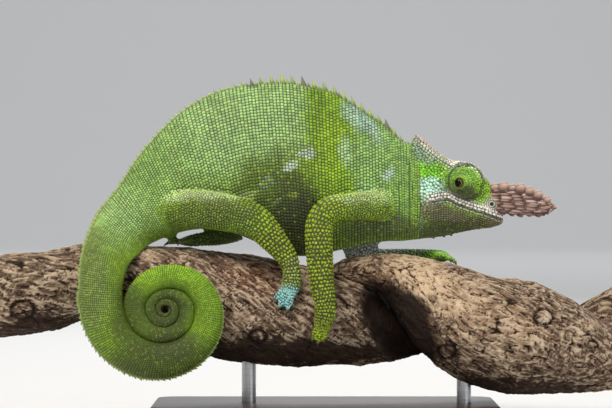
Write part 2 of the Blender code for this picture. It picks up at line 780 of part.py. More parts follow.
def ridge(name, tree, line, side, radius, rise=0.0, sink=0.4, taper=True):
    """A rounded ridge that follows a line on the side of the head."""
    points = [on_side(tree, x, z + rise, side) for x, z in line]
    rows = []
    for i, point in enumerate(points):
        end = taper and i in (0, len(points) - 1)
        size = radius * (RIDGE_END if end else 1)
        rows.append((point.x, point.y - side * radius * sink, point.z, size, size))
    return loft(name, path_rings(rows, RIDGE_SIDES))


def shield(side, grow=0.0):
    """The round pale plate about the nostril."""
    size = NOSTRIL_SHIELD + grow
    place = (NOSTRIL[0], side * NOSTRIL_OUT, NOSTRIL[1])
    return ball("shield", place, (size, NOSTRIL_BULGE + grow, size), *COARSE_BALL)


def make_head():
    head = loft("head", skull_rings(), "green_skin")
    tree = surface_tree(head)
    forms = [spike("casque", CASQUE_ROOT, CASQUE_TIP, *CASQUE_HALF)]
    for side in (-1, 1):
        x, y, z = TURRET_CENTRE
        forms.append(
            ball("turret", (x, side * y, z), (TURRET_RADIUS, TURRET_BULGE, TURRET_RADIUS), *FINE_BALL)
        )
        forms.append(ridge("crest", tree, SIDE_CREST, side, SIDE_CREST_RADIUS))
        forms.append(ridge("brow", tree, BROW, side, BROW_RADIUS))
        forms.append(ridge("lip", tree, MOUTH, side, UPPER_LIP_RADIUS, UPPER_LIP_RISE, LIP_SINK))
        forms.append(ridge("jaw", tree, MOUTH, side, LOWER_LIP_RADIUS, -LOWER_LIP_DROP, LIP_SINK))
        x, y, z = CHEEK_LOBE
        forms.append(ball("cheek", (x, side * y, z), CHEEK_LOBE_SIZE, *COARSE_BALL))
        forms.append(shield(side))
        x, y, z = LID_OPENING
        forms.append(
            spike(
                "lid",
                (x + LID_TURN, side * (y - 2 * LID_RIM), z),
                (x, side * (y + LID_STAND), z),
                LID_FOOT,
                LID_FOOT,
                across=UP,
                sides=LID_SIDES,
                blunt=LID_BLUNTNESS,
            )
        )
    join(head, forms)
    tree = surface_tree(head)
    hollows = []
    for side in (-1, 1):
        hollows.append(ridge("mouth", tree, MOUTH, side, MOUTH_CUT, 0.0, 0.0, False))
        x, z = NOSTRIL
        place = on_side(tree, x, z, side)
        hollows.append(ball("nostril", place, (NOSTRIL_RADIUS, NOSTRIL_DEEP, NOSTRIL_RADIUS), *SMALL_BALL))
        hollows.append(eye_ball("socket", side, GAP))
    cut(head, hollows)


def eye_ball(name, side, grow=0.0):
    x, y, z = LID_OPENING
    size = EYE_RADIUS + grow
    return ball(name, (x, side * (y - EYE_DEPTH), z), (size, size, size), *COARSE_BALL)


def make_eyes():
    for side, word in ((-1, "right"), (1, "left")):
        eye = eye_ball(f"eye_{word}", side)
        eye.data.materials.append(finish_of("eye"))


def between_rows(rows, place):
    """The row at a fractional place in a table."""
    first = min(int(place), len(rows) - 2)
    share = place - first
    return [a + (b - a) * share for a, b in zip(rows[first], rows[first + 1])]


def make_horns(draw):
    """Two flat, forward horns, each with rough tubercles along its upper edge and its outer face."""
    for side, word, rise in ((-1, "right", 0.0), (1, "left", FAR_HORN_RISE)):
        rows = []
        for x, high, low, y, thick in HORN:
            rows.append((x, side * y, (high + low) / 2 + rise, (high - low) / 2, thick))
        horn = loft(f"horn_{word}", path_rings(rows, HORN_SIDES), "horn")
        bumps = []
        last = len(rows) - 1
        for i in range(TOP_TUBERCLES):
            share = i / (TOP_TUBERCLES - 1)
            reach = TOP_TUBERCLES_FROM + (TOP_TUBERCLES_TO - TOP_TUBERCLES_FROM) * share
            x, y, z, half, thick = between_rows(rows, last * reach)
            size = TUBERCLE * draw.uniform(*UNEVEN) * (1 - TUBERCLE_THINNING * share)
            root = Vector((x, y, z + half - TUBERCLE_SINK))
            tip = Vector((x + size * TUBERCLE_LEAN, y, z + half + size * TUBERCLE_STAND))
            thickness = min(thick, size) * TUBERCLE_FLATNESS
            bumps.append(spike("tubercle", root, tip, size, thickness, blunt=TUBERCLE_BLUNTNESS))
        for i in range(SIDE_TUBERCLES):
            share = i / (SIDE_TUBERCLES - 1)
            reach = SIDE_TUBERCLES_FROM + (SIDE_TUBERCLES_TO - SIDE_TUBERCLES_FROM) * share
            x, y, z, half, thick = between_rows(rows, last * reach)
            for level in SIDE_TUBERCLE_LEVELS:
                out = thick * math.sqrt(1 - level * level)
                root = Vector((x, y + side * (out - TUBERCLE_SINK), z + half * level))
                tip = root + Vector((0, side * (TUBERCLE_SINK + SIDE_TUBERCLE_STAND), 0))
                long, high = SIDE_TUBERCLE_HALF
                bumps.append(spike("scale", root, tip, high, long, ALONG, blunt=SIDE_TUBERCLE_BLUNTNESS))
        join(horn, bumps)
        blockers = [loft("skull", skull_rings(GAP)), shield(side, GAP)]
        cut(horn, blockers)


def digits(lines, across):
    """Toes or fingers, each a tapered, gently bent rod that ends in a claw."""
    parts = []
    for first, second, third, claw_tip in lines:
        rows = [
            (*first, DIGIT_RADIUS, DIGIT_RADIUS),
            (*second, DIGIT_RADIUS, DIGIT_MIDDLE_DEPTH),
            (*third, DIGIT_END, DIGIT_END),
        ]
        end = Vector(third) + (Vector(third) - Vector(second)).normalized() * DIGIT_TIP_REACH
        rows.append((*end, DIGIT_TIP, DIGIT_TIP))
        parts.append(loft("digit", path_rings(rows, DIGIT_SIDES, across=across)))
        claw = spike("claw", third, claw_tip, CLAW_RADIUS, CLAW_RADIUS, across, blunt=CLAW_BLUNTNESS)
        parts.append(claw)
    return parts


def stem_cutters():
    return [loft("stem_a", stem_rings(STEM_A, GAP)), loft("stem_b", stem_rings(STEM_B, GAP))]


def make_limb(names, rows, cuts, finishes, digit_lines, across, blockers):
    """A limb parted by thin cuts, and cut clear of what it grows from and of the branch."""
    rings = path_rings(flow(rows, ROW_STEPS), LIMB_SIDES)
    for i, (start, end) in enumerate(zip(cuts, cuts[1:])):
        body = loft(names[i], between_cuts(rings, start * ROW_STEPS, end * ROW_STEPS), finishes[i])
        if i == len(names) - 1:
            if digit_lines:
                join(body, digits(digit_lines, across))
        cut(body, [*blockers(), *stem_cutters()])


def make_limbs():
    skin = ("leg_skin", "leg_skin", "leg_skin")
    names = ("upper_arm_right", "forearm_right", "hand_right")
    make_limb(names, ARM_RIGHT, ARM_RIGHT_CUTS, skin, HAND_RIGHT_DIGITS, ACROSS, clear_of())
    names = ("thigh_right", "shank_right", "foot_right")
    toes = ("leg_skin", "leg_skin", "toe_skin")
    make_limb(names, LEG_RIGHT, LEG_RIGHT_CUTS, toes, FOOT_RIGHT_DIGITS, ACROSS, clear_of())
    whole = (0, len(ARM_LEFT) - 1)
    make_limb(("upper_arm_left",), ARM_LEFT, whole, skin, None, ACROSS, clear_of())
    names = ("forearm_left", "hand_left")
    make_limb(names, FOREARM_LEFT, FOREARM_LEFT_CUTS, skin, HAND_LEFT_DIGITS, UP, clear_of(ARM_LEFT))
    whole = (0, len(THIGH_LEFT) - 1)
    make_limb(("thigh_left",), THIGH_LEFT, whole, skin, None, ACROSS, clear_of())
    names = ("shank_left", "foot_left")
    make_limb(names, SHANK_LEFT, SHANK_LEFT_CUTS, skin, FOOT_LEFT_DIGITS, UP, clear_of(THIGH_LEFT))


def clear_of(*limbs):
    """Makes new cutters each time: the trunk and the named limbs, all grown by the clearance."""

    def cutters():
        above = [path_rings(flow(rows, ROW_STEPS), LIMB_SIDES, GAP) for rows in limbs]
        return [loft("above", rings) for rings in (trunk_rings(GAP), *above)]

    return cutters


def make_branch():
    stem_a = loft("perch_stem_a", stem_rings(STEM_A), "bark")
    stem_b = loft("perch_stem_b", stem_rings(STEM_B), "bark")
    cut(stem_a, [loft("stem_b", stem_rings(STEM_B, GAP))])
    saw(stem_a, -PERCH_HALF_LENGTH, -1)
    saw(stem_a, PERCH_HALF_LENGTH, 1)
    saw(stem_b, PERCH_HALF_LENGTH, 1)


def base_ring(inset, z):
    """The base's outline, a rectangle with round corners, drawn in by `inset`."""
    ring = []
    for corner in range(4):
        sign_x = 1 if corner in (0, 3) else -1
        sign_y = 1 if corner in (0, 1) else -1
        for step in range(BASE_CORNER_STEPS + 1):
            angle = (corner + step / BASE_CORNER_STEPS) * TAU / 4
            ring.append(
                Vector(
                    (
                        BASE_MIDDLE_X
                        + sign_x * (BASE_LENGTH / 2 - BASE_CORNER)
                        + (BASE_CORNER - inset) * math.cos(angle),
                        sign_y * (BASE_DEPTH / 2 - BASE_CORNER) + (BASE_CORNER - inset) * math.sin(angle),
                        z,
                    )
                )
            )
    return ring


def make_stand():
    levels = (
        (BASE_EDGE, 0.0),
        (0.0, BASE_EDGE),
        (0.0, BASE_THICK - BASE_EDGE),
        (BASE_EDGE, BASE_THICK),
    )
    loft("stand_base", [base_ring(inset, z) for inset, z in levels], "stand_wood")
    for name, (x, y, top) in RODS.items():
        rows = [(x, y, z, ROD_RADIUS, ROD_RADIUS) for z in (BASE_THICK + GAP, top)]
        rod = loft(name, path_rings(rows, ROD_SIDES), "stand_steel")
        cut(rod, stem_cutters())


def main():
    for obj in list(bpy.data.objects):
        bpy.data.objects.remove(obj)
    draw = random.Random(SEED)
    make_stand()
    make_branch()
    make_trunk(draw)
    make_tail(draw)
    make_head()
    make_eyes()
    make_horns(draw)
    make_limbs()
    for obj in collection_named("chameleon").objects:
        obj.data.shade_smooth()
        obj.data.set_sharp_from_angle(angle=math.radians(SHARP_DEGREES))


main()
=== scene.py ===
"""The chameleon, its perch and its stand as the camera sees them. Tables hold mm."""

import math
from itertools import product

import bmesh
import bpy
import numpy as np
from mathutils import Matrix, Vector, noise
from mathutils.bvhtree import BVHTree
from mathutils.kdtree import KDTree
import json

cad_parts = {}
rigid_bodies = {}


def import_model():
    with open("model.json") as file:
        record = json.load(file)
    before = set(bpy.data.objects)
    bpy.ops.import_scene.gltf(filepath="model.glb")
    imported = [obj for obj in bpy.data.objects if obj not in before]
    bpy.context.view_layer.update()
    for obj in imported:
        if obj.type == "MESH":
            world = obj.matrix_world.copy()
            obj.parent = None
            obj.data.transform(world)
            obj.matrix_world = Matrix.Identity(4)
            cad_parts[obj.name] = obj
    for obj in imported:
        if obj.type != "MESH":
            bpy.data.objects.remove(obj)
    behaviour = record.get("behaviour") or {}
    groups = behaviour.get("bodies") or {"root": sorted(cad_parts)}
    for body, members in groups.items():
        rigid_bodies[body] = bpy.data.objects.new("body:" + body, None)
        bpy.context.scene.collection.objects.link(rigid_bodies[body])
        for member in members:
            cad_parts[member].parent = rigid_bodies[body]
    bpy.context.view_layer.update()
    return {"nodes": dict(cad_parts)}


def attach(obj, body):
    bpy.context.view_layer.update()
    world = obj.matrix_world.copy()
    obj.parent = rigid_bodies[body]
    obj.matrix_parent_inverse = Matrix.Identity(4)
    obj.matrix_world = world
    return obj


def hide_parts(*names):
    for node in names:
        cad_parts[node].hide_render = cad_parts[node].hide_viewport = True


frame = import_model()

MM = 0.001
TAU = 2 * math.pi
FLESH = [name for name in frame["nodes"] if not name.startswith(("stand_", "perch_", "horn_", "eye_"))]

# The skin: how far it lies inside the solids, its voxels, and how far parts are grown to close their gaps
COAT_DEPTH = 0.42
VOXEL = 0.6
CLOSING = 0.35
SMOOTH_TURNS = 7
SMOOTH_WEIGHT = 0.6
HEAD_SMOOTH_TURNS = 2
HEAD_FROM = 47.0

# Trunk from the tail's root to the nape: top x, top z, bottom x, bottom z, middle y, half width
TRUNK = [
    (-82.3, 93.2, -64.7, 74.3, 0.0, 7.8), (-78.1, 98.7, -60.5, 76.2, 0.0, 8.4),
    (-71.8, 108.8, -55.0, 78.2, 0.0, 9.4), (-65.5, 116.8, -48.7, 79.8, 0.0, 10.5),
    (-57.1, 125.6, -41.2, 80.4, 0.0, 11.6), (-48.7, 132.3, -34.0, 79.6, 0.0, 12.4),
    (-38.2, 137.8, -26.5, 77.2, 0.0, 13.0), (-27.7, 140.7, -18.5, 73.6, 0.0, 13.4),
    (-18.5, 142.0, -10.9, 70.1, 0.0, 13.4), (-9.2, 142.2, -3.4, 68.9, 0.0, 13.1),
    (0.4, 140.9, 4.2, 69.3, 0.0, 12.6), (10.1, 138.6, 12.2, 71.0, 0.0, 11.9),
    (18.9, 133.6, 19.7, 72.7, 0.0, 11.1), (26.5, 128.5, 26.9, 74.3, 0.0, 10.4),
    (33.2, 124.3, 34.4, 75.2, 0.0, 9.8), (38.8, 119.0, 39.2, 75.2, 0.0, 9.4),
    (43.5, 116.2, 43.5, 75.6, 0.0, 9.6), (47.5, 114.0, 47.5, 76.2, 0.0, 9.2),
]
TRUNK_BELLY = 0.28
FINE_STEPS = 6
TRUNK_SIDES = 72
TAIL_SIDES = 48
TAIL_ROOT = [
    (-86.5, 87.8, -67.6, 72.2, -3.0, 7.6), (-89.8, 80.3, -70.5, 69.0, -10.5, 7.5),
    (-92.2, 72.4, -73.1, 65.8, -17.2, 7.4), (-93.1, 64.7, -74.5, 61.4, -22.0, 7.2),
    (-93.3, 56.9, -75.4, 55.6, -24.3, 7.0),
]
COIL_CENTRE = Vector((-57.8, -25.0, 48.2))
COIL_RADII = (35.5, 29.1, 23.5, 18.2, 17.7, 14.7, 12.2, 8.7, 9.1, 8.2, 5.8, 4.4, 4.7, 4.0, 2.1)
COIL_GAP = -0.75
COIL_DEPTH = 0.4
QUARTER_STEPS = 10
TIP_WIDTH = 1.6

# Limbs: x, y, z, half height across the limb, half depth
LIMBS = {
    "arm_right": [
        (36.1, -3.0, 91.1, 6.0, 4.0), (30.2, -10.3, 90.7, 6.1, 4.3), (22.7, -13.2, 90.3, 5.9, 4.5),
        (15.1, -15.8, 90.0, 5.7, 4.5), (9.0, -18.0, 88.4, 5.8, 4.6), (5.9, -19.8, 83.2, 6.1, 4.7),
        (5.4, -21.0, 76.2, 6.0, 4.8), (5.8, -21.8, 67.1, 5.7, 4.7), (6.6, -22.6, 57.6, 5.2, 4.5),
        (7.8, -23.4, 50.4, 4.7, 4.2), (7.9, -23.6, 45.6, 4.6, 3.7), (7.0, -23.4, 41.6, 4.0, 3.0),
        (6.2, -22.8, 39.0, 2.4, 1.8),
    ],
    "leg_right": [
        (-60.0, -3.0, 89.9, 7.0, 4.5), (-52.9, -9.5, 89.0, 7.6, 5.2), (-44.5, -13.3, 88.6, 7.9, 5.6),
        (-35.3, -15.8, 87.8, 8.1, 5.8), (-26.5, -17.6, 86.4, 7.9, 5.8), (-19.7, -18.8, 82.8, 7.0, 5.5),
        (-14.3, -19.5, 77.1, 5.9, 5.0), (-9.4, -20.0, 71.2, 4.9, 4.4), (-6.4, -20.2, 66.0, 4.2, 4.0),
        (-5.8, -20.3, 61.0, 4.1, 3.7), (-6.4, -20.4, 56.6, 4.3, 3.0), (-7.2, -20.4, 53.8, 2.6, 1.8),
    ],
    "arm_left": [
        (35.0, 2.0, 88.0, 5.4, 4.0), (31.5, 9.0, 83.6, 5.2, 4.2), (27.0, 13.0, 77.0, 4.9, 4.1),
        (21.6, 15.4, 71.6, 4.6, 4.0), (17.6, 16.4, 68.4, 4.4, 3.9),
    ],
    "forearm_left": [
        (16.8, 16.2, 67.6, 4.2, 3.8), (24.0, 15.4, 68.4, 3.9, 3.6), (33.0, 14.0, 68.9, 3.6, 3.4),
        (43.0, 11.6, 69.0, 3.4, 3.3), (50.0, 8.6, 69.0, 3.3, 3.2), (54.4, 5.0, 69.0, 3.4, 3.0),
        (57.6, 1.6, 69.1, 3.0, 2.6), (59.4, -0.6, 69.0, 1.6, 1.5),
    ],
    "thigh_left": [
        (-56.0, 3.0, 89.0, 6.6, 4.4), (-50.0, 9.0, 88.4, 7.0, 5.0), (-42.0, 12.8, 87.0, 6.8, 5.0),
        (-35.0, 15.0, 85.0, 6.2, 4.8), (-29.4, 16.0, 82.6, 5.2, 4.4), (-26.6, 16.2, 81.0, 3.4, 3.0),
    ],
    "shank_left": [
        (-27.4, 15.8, 79.4, 4.0, 3.6), (-32.0, 14.6, 78.2, 4.4, 3.9), (-38.0, 11.6, 77.0, 4.0, 3.6),
        (-43.0, 8.6, 76.4, 3.2, 3.1), (-47.6, 6.0, 75.8, 2.8, 2.8), (-51.0, 4.6, 75.4, 2.3, 2.2),
        (-53.0, 4.0, 75.2, 1.4, 1.3),
    ],
}
HELD_FLAT = ("forearm_left", "shank_left", "hand_left", "foot_left")

# Digits: the points each follows from the palm to its last joint
DIGITS = {
    "hand_right": [
        ((9.6, -23.4, 43.6), (8.8, -23.2, 38.8), (7.6, -22.4, 35.2), (6.9, -21.2, 32.6)),
        ((7.2, -23.8, 42.8), (6.2, -23.4, 37.8), (5.1, -22.5, 34.4), (4.3, -21.2, 31.8)),
        ((5.2, -23.4, 43.0), (3.9, -23.0, 38.8), (2.9, -22.2, 35.8), (2.1, -21.0, 33.4)),
    ],
    "foot_right": [
        ((-7.4, -20.4, 57.2), (-10.6, -20.0, 54.6), (-13.0, -19.6, 52.2), (-15.0, -19.6, 50.2)),
        ((-7.0, -20.8, 55.4), (-9.2, -21.0, 51.8), (-11.2, -21.0, 48.8), (-12.6, -21.2, 46.6)),
        ((-5.4, -20.8, 55.2), (-6.2, -21.4, 51.2), (-7.6, -21.6, 47.8), (-8.6, -21.8, 45.4)),
    ],
    "hand_left": [
        ((57.4, 1.6, 69.2), (60.2, -1.2, 68.4), (62.2, -4.0, 67.2), (63.2, -6.0, 66.0)),
        ((56.4, 0.8, 69.2), (58.4, -3.0, 69.0), (60.0, -6.2, 68.2), (60.8, -8.2, 67.2)),
        ((55.0, 2.0, 69.4), (55.6, -2.0, 69.8), (56.4, -5.4, 69.6), (56.8, -7.6, 68.8)),
    ],
    "foot_left": [
        ((-50.0, 5.4, 75.4), (-54.0, 5.6, 75.2), (-57.6, 6.0, 74.8), (-60.0, 6.2, 74.2)),
        ((-50.0, 4.0, 75.4), (-54.0, 2.0, 75.4), (-57.2, 0.4, 75.2), (-59.2, -0.8, 74.6)),
        ((-48.6, 3.4, 75.6), (-50.8, -0.6, 75.6), (-52.8, -3.6, 75.2), (-54.0, -5.6, 74.4)),
    ],
}
DIGIT_RADIUS = 1.7
DIGIT_END = 1.15
DIGIT_PAD = 0.07
CREST_FRONT_FROM = -24.0

# Lines of the head, in x and z
MOUTH = (
    (52.1, 92.0), (56.3, 92.8), (59.6, 92.8), (62.6, 91.2), (66.8, 89.6), (71.0, 88.2), (75.2, 87.0),
    (79.4, 85.4), (82.0, 84.6),
)
TURRET_CENTRE = (66.8, 7.4, 100.4)
LID_OPENING = (63.9, 12.3, 100.0)
SIDE_CREST = ((46.8, 117.4), (50.5, 114.2), (54.5, 111.0), (58.4, 108.4), (61.6, 106.6))
BROW = ((61.2, 106.8), (64.6, 108.2), (68.6, 107.8), (72.2, 105.4), (74.6, 102.2))
NOSTRIL = (77.7, 91.1)


# Shapes


FIELDS = {"vector": "FLOAT_VECTOR", "color": "FLOAT_COLOR", "value": "FLOAT"}


def in_scene(name, data):
    """A new object of this data, in the scene."""
    obj = bpy.data.objects.new(name, data)
    bpy.context.scene.collection.objects.link(obj)
    return obj


def mark(mesh, name, kind, values):
    """Writes a named value for each point of a mesh."""
    field = mesh.attributes.new(name, FIELDS[kind], "POINT")
    field.data.foreach_set(kind, np.ascontiguousarray(values, np.float32).reshape(-1))


def paint(mesh, tone):
    """Writes a colour for each point of a mesh."""
    mark(mesh, "tone", "color", np.column_stack([tone, np.ones(len(tone))]))


def near_tree(places):
    """A search tree over places, each under its number."""
    tree = KDTree(len(places))
    for number, place in enumerate(places):
        tree.insert(place, number)
    tree.balance()
    return tree


def lengths_along(points):
    """How far along a line of points each of them is."""
    return np.concatenate([[0], np.cumsum(np.linalg.norm(np.diff(points, axis=0), axis=1))])


def along(at, lengths, rows):
    """The rows' values at these lengths along them."""
    return np.stack([np.interp(at, lengths, rows[:, k]) for k in range(rows.shape[1])], -1)


def unit(vectors):
    return vectors / np.linalg.norm(vectors, axis=-1, keepdims=True).clip(1e-9)


def between(four, u):
    """The Catmull-Rom row at fraction u between the second and the third of four rows."""
    return [
        0.5 * (2 * q + (r - p) * u + (2 * p - 5 * q + 4 * r - s) * u**2 + (3 * q - p - 3 * r + s) * u**3)
        for p, q, r, s in zip(*four)
    ]


def flow(rows, steps):
    """Rows on a smooth curve through the given ones, `steps` for each gap between them."""
    before = [2 * a - b for a, b in zip(rows[0], rows[1])]
    after = [2 * a - b for a, b in zip(rows[-1], rows[-2])]
    padded = [before, *rows, after]
    fine = []
    for i in range(1, len(padded) - 2):
        fine += [between(padded[i - 1 : i + 3], step / steps) for step in range(steps)]
    return [*fine, list(rows[-1])]


def deep_rings(rows, sides, belly, grow=0.0):
    """Egg-shaped sections between top and bottom points, as an array of rings of points."""
    rows = np.array(rows)
    top = np.stack([rows[:, 0], rows[:, 4], rows[:, 1]], 1)
    low = np.stack([rows[:, 2], rows[:, 4], rows[:, 3]], 1)
    rise = (top - low) / 2
    height = np.linalg.norm(rise, axis=1, keepdims=True)
    rise = rise / height * (height + grow)
    angle = np.arange(sides) * TAU / sides
    up = np.cos(angle)
    out = np.sin(angle) * (1 - belly * up)
    rings = ((top + low) / 2)[:, None] + rise[:, None] * up[None, :, None]
    rings[:, :, 1] += (rows[:, 5] + grow)[:, None] * out[None, :]
    return rings


def path_rings(rows, sides, grow=0.0, across=(0, 1, 0)):
    """Oval sections square to a path: each row is x, y, z, half height and half depth."""
    rows = np.array(rows)
    places = rows[:, :3]
    along = np.gradient(places, axis=0)
    flat = np.cross(along, np.array(across, float))
    flat /= np.linalg.norm(flat, axis=1, keepdims=True)
    deep = np.cross(flat, along)
    deep /= np.linalg.norm(deep, axis=1, keepdims=True)
    angle = np.arange(sides) * TAU / sides
    high = flat[:, None] * (rows[:, 3] + grow)[:, None, None] * np.cos(angle)[None, :, None]
    wide = deep[:, None] * (rows[:, 4] + grow)[:, None, None] * np.sin(angle)[None, :, None]
    return places[:, None] + high + wide


def coil_row(quarter, radii):
    """One section of the coil, from the coil's radius inwards to just off the next turn."""
    angle = math.pi + TAU * quarter / 4
    out = Vector((math.cos(angle), 0, math.sin(angle)))
    steps = round(quarter * QUARTER_STEPS)
    last_full = (len(COIL_RADII) - 5) * QUARTER_STEPS
    inner_step = min(steps, last_full) + 4 * QUARTER_STEPS
    full = radii[min(steps, last_full)] - radii[inner_step] - COIL_GAP
    share = max(0.0, (steps - last_full) / (4 * QUARTER_STEPS))
    width = full + (TIP_WIDTH - full) * share
    outer = COIL_CENTRE + out * radii[steps]
    inner = COIL_CENTRE + out * (radii[steps] - width)
    return (outer.x, outer.z, inner.x, inner.z, COIL_CENTRE.y, width * COIL_DEPTH)


def tail_rows():
    radii = [row[0] for row in flow([(radius,) for radius in COIL_RADII], QUARTER_STEPS)]
    coil = [coil_row(i / QUARTER_STEPS, radii) for i in range(len(radii))]
    root = flow([TRUNK[0], *TAIL_ROOT, coil[0], coil[4]], 6)[: (len(TAIL_ROOT) + 1) * 6]
    return root, coil


def mesh_object(name, points, faces):
    """A mesh object made of points in mm."""
    mesh = bpy.data.meshes.new(name)
    mesh.from_pydata((np.asarray(points) * MM).tolist(), [], [list(map(int, face)) for face in faces])
    return in_scene(name, mesh)


def ring_faces(count, sides):
    """Faces between each ring of points and the next."""
    i = np.arange(sides)
    band = np.stack([i, (i + 1) % sides, (i + 1) % sides + sides, i + sides], 1)
    return [face for ring in range(count - 1) for face in (band + ring * sides).tolist()]


def loft(name, rings):
    """A tube through rings of points, with a flat face on each end."""
    count, sides, _ = rings.shape
    i = np.arange(sides)
    ends = [i[::-1].tolist(), ((count - 1) * sides + i).tolist()]
    obj = mesh_object(name, rings.reshape(-1, 3), ring_faces(count, sides) + ends)
    outward(obj.data)
    return obj


def outward(mesh):
    bm = bmesh.new()
    bm.from_mesh(mesh)
    bmesh.ops.recalc_face_normals(bm, faces=bm.faces)
    bm.to_mesh(mesh)
    bm.free()


def node_copy(node, grow):
    """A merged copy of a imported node's mesh, grown along its normals by `grow` mm."""
    mesh = frame["nodes"][node].data.copy()
    mesh.transform(frame["nodes"][node].matrix_world)
    bm = bmesh.new()
    bm.from_mesh(mesh)
    bmesh.ops.remove_doubles(bm, verts=bm.verts, dist=0.01 * MM)
    bmesh.ops.recalc_face_normals(bm, faces=bm.faces)
    bm.normal_update()
    for vert, shift in [(vert, vert.normal * grow * MM) for vert in bm.verts]:
        vert.co += shift
    bm.to_mesh(mesh)
    bm.free()
    mesh.materials.clear()
    return in_scene(f"copy_{node}", mesh)


def joined(name, parts):
    """One object out of several, which are removed."""
    bm = bmesh.new()
    for part in parts:
        bm.from_mesh(part.data)
    mesh = bpy.data.meshes.new(name)
    bm.to_mesh(mesh)
    bm.free()
    for part in parts:
        old = part.data
        bpy.data.objects.remove(part)
        bpy.data.meshes.remove(old)
    return in_scene(name, mesh)


def baked_down(obj):
    """Puts what the object's modifiers make in its mesh, and removes the modifiers."""
    graph = bpy.context.evaluated_depsgraph_get()
    made = bpy.data.meshes.new_from_object(obj.evaluated_get(graph))
    old = obj.data
    obj.modifiers.clear()
    obj.data = made
    made.name = obj.name
    bpy.data.meshes.remove(old)
    return obj


def remeshed(obj, voxel):
    step = obj.modifiers.new("voxels", "REMESH")
    step.mode = "VOXEL"
    step.voxel_size = voxel * MM
    step.use_smooth_shade = True
    return baked_down(obj)


def points_of(mesh):
    flat = np.empty(len(mesh.vertices) * 3, np.float32)
    mesh.vertices.foreach_get("co", flat)
    return flat.reshape(-1, 3).astype(float) / MM


def set_points(mesh, points):
    mesh.vertices.foreach_set("co", (points * MM).astype(np.float32).reshape(-1))
    mesh.update()


def normals_of(mesh):
    flat = np.empty(len(mesh.vertices) * 3, np.float32)
    mesh.vertex_normals.foreach_get("vector", flat)
    return flat.reshape(-1, 3).astype(float)


def smoothed(mesh, points, turns, weight):
    """Moves each point towards the middle of its neighbours, by its own weight, `turns` times."""
    ends = np.empty(len(mesh.edges) * 2, np.int32)
    mesh.edges.foreach_get("vertices", ends)
    a, b = ends.reshape(-1, 2).T
    count = np.bincount(np.concatenate([a, b]), minlength=len(points)).clip(1)[:, None]
    for _ in range(turns):
        total = np.stack([np.bincount(a, points[b, k], len(points)) for k in range(3)], 1)
        total += np.stack([np.bincount(b, points[a, k], len(points)) for k in range(3)], 1)
        points = points + (total / count - points) * weight
    return points


def smooth_step(low, high, value):
    share = np.clip((value - low) / (high - low), 0, 1)
    return share * share * (3 - 2 * share)


def line_distance(points, line):
    """Distance in x and z from each point to a line of (x, z) places."""
    place = points[:, [0, 2]]
    best = np.full(len(points), 1e9)
    for a, b in zip(np.array(line), np.array(line)[1:]):
        step = b - a
        share = np.clip(((place - a) @ step) / np.linalg.norm(step) ** 2, 0, 1)
        best = np.minimum(best, np.linalg.norm(place - a - share[:, None] * step, axis=1))
    return best


# The skin


def digit_rows(points):
    """A digit's path, thinning to a round end."""
    fine = flow([list(point) for point in points[:3]], 5)
    rows = []
    for i, place in enumerate(fine):
        share = i / (len(fine) - 1)
        radius = DIGIT_RADIUS + (DIGIT_END - DIGIT_RADIUS) * share
        pad = 1 + DIGIT_PAD * math.sin(TAU * share * 2)
        rows.append((*place, radius * pad, radius))
    end = Vector(rows[-1][:3])
    step = (end - Vector(rows[-2][:3])).normalized()
    for reach, size in ((0.5, 0.86), (0.85, 0.5), (1.0, 0.12)):
        place = end + step * DIGIT_END * reach
        rows.append((*place, DIGIT_END * size, DIGIT_END * size))
    return rows


def limb_across(name):
    return (0, 0, 1) if name.startswith(HELD_FLAT) else (0, 1, 0)


def member_rings(grow):
    """Fine sections of the trunk, the tail's root, each limb and each digit."""
    members = {"trunk": deep_rings(flow(TRUNK, FINE_STEPS), TRUNK_SIDES, TRUNK_BELLY, grow)}
    root, coil = tail_rows()
    members["tail"] = deep_rings([*root, *coil[:3]], TAIL_SIDES, 0.0, grow)
    for name, rows in LIMBS.items():
        members[name] = path_rings(flow(rows, 4), 36, grow, limb_across(name))
    for name, lines in DIGITS.items():
        for number, line in enumerate(lines):
            members[f"{name}_{number}"] = path_rings(digit_rows(line), 20, grow, limb_across(name))
    return members


COIL_SIDES = 40
COIL_START = 0.8
SHIELD_PLACE = (77.6, 4.3, 91.0)
SHIELD_RADII = (3.3, 3.0, 3.3)


def nostril_shield(side):
    """The round swelling that carries the nostril, over the horn's root."""
    shield = bpy.data.meshes.new("shield")
    bm = bmesh.new()
    bmesh.ops.create_icosphere(bm, subdivisions=3, radius=1.0)
    bm.to_mesh(shield)
    bm.free()
    x, y, z = SHIELD_PLACE
    set_points(shield, points_of(shield) * MM * SHIELD_RADII + [x, side * y, z])
    return in_scene("shield", shield)


def make_skin():
    """One surface over trunk, head, limbs and digits, with the tail's coil as a finer tube in its mesh."""
    members = member_rings(CLOSING)
    parts = [loft(name, rings) for name, rings in members.items()]
    parts.append(node_copy("head", CLOSING))
    parts += [lid_ring(side) for side in (-1, 1)]
    parts += [nostril_shield(side) for side in (-1, 1)]
    body = remeshed(joined("skin", parts), VOXEL)
    points = points_of(body.data)
    weight = np.where(points[:, 0] > HEAD_FROM, HEAD_SMOOTH_TURNS / SMOOTH_TURNS, 1.0)
    weight = (weight * SMOOTH_WEIGHT)[:, None]
    points = smoothed(body.data, points, SMOOTH_TURNS, weight)
    set_points(body.data, points)
    depth = (CLOSING + COAT_DEPTH + folds(points))[:, None]
    points = points - normals_of(body.data) * depth
    set_points(body.data, smoothed(body.data, points, 1, 0.3))
    rings = deep_rings(tail_rows()[1], COIL_SIDES, 0.0, -COAT_DEPTH)
    middle = rings[0].mean(0)
    rings[0] = middle + (rings[0] - middle) * COIL_START
    coil = loft("coil", rings)
    skin = joined("skin", [body, coil])
    skin.data.shade_smooth()
    return skin


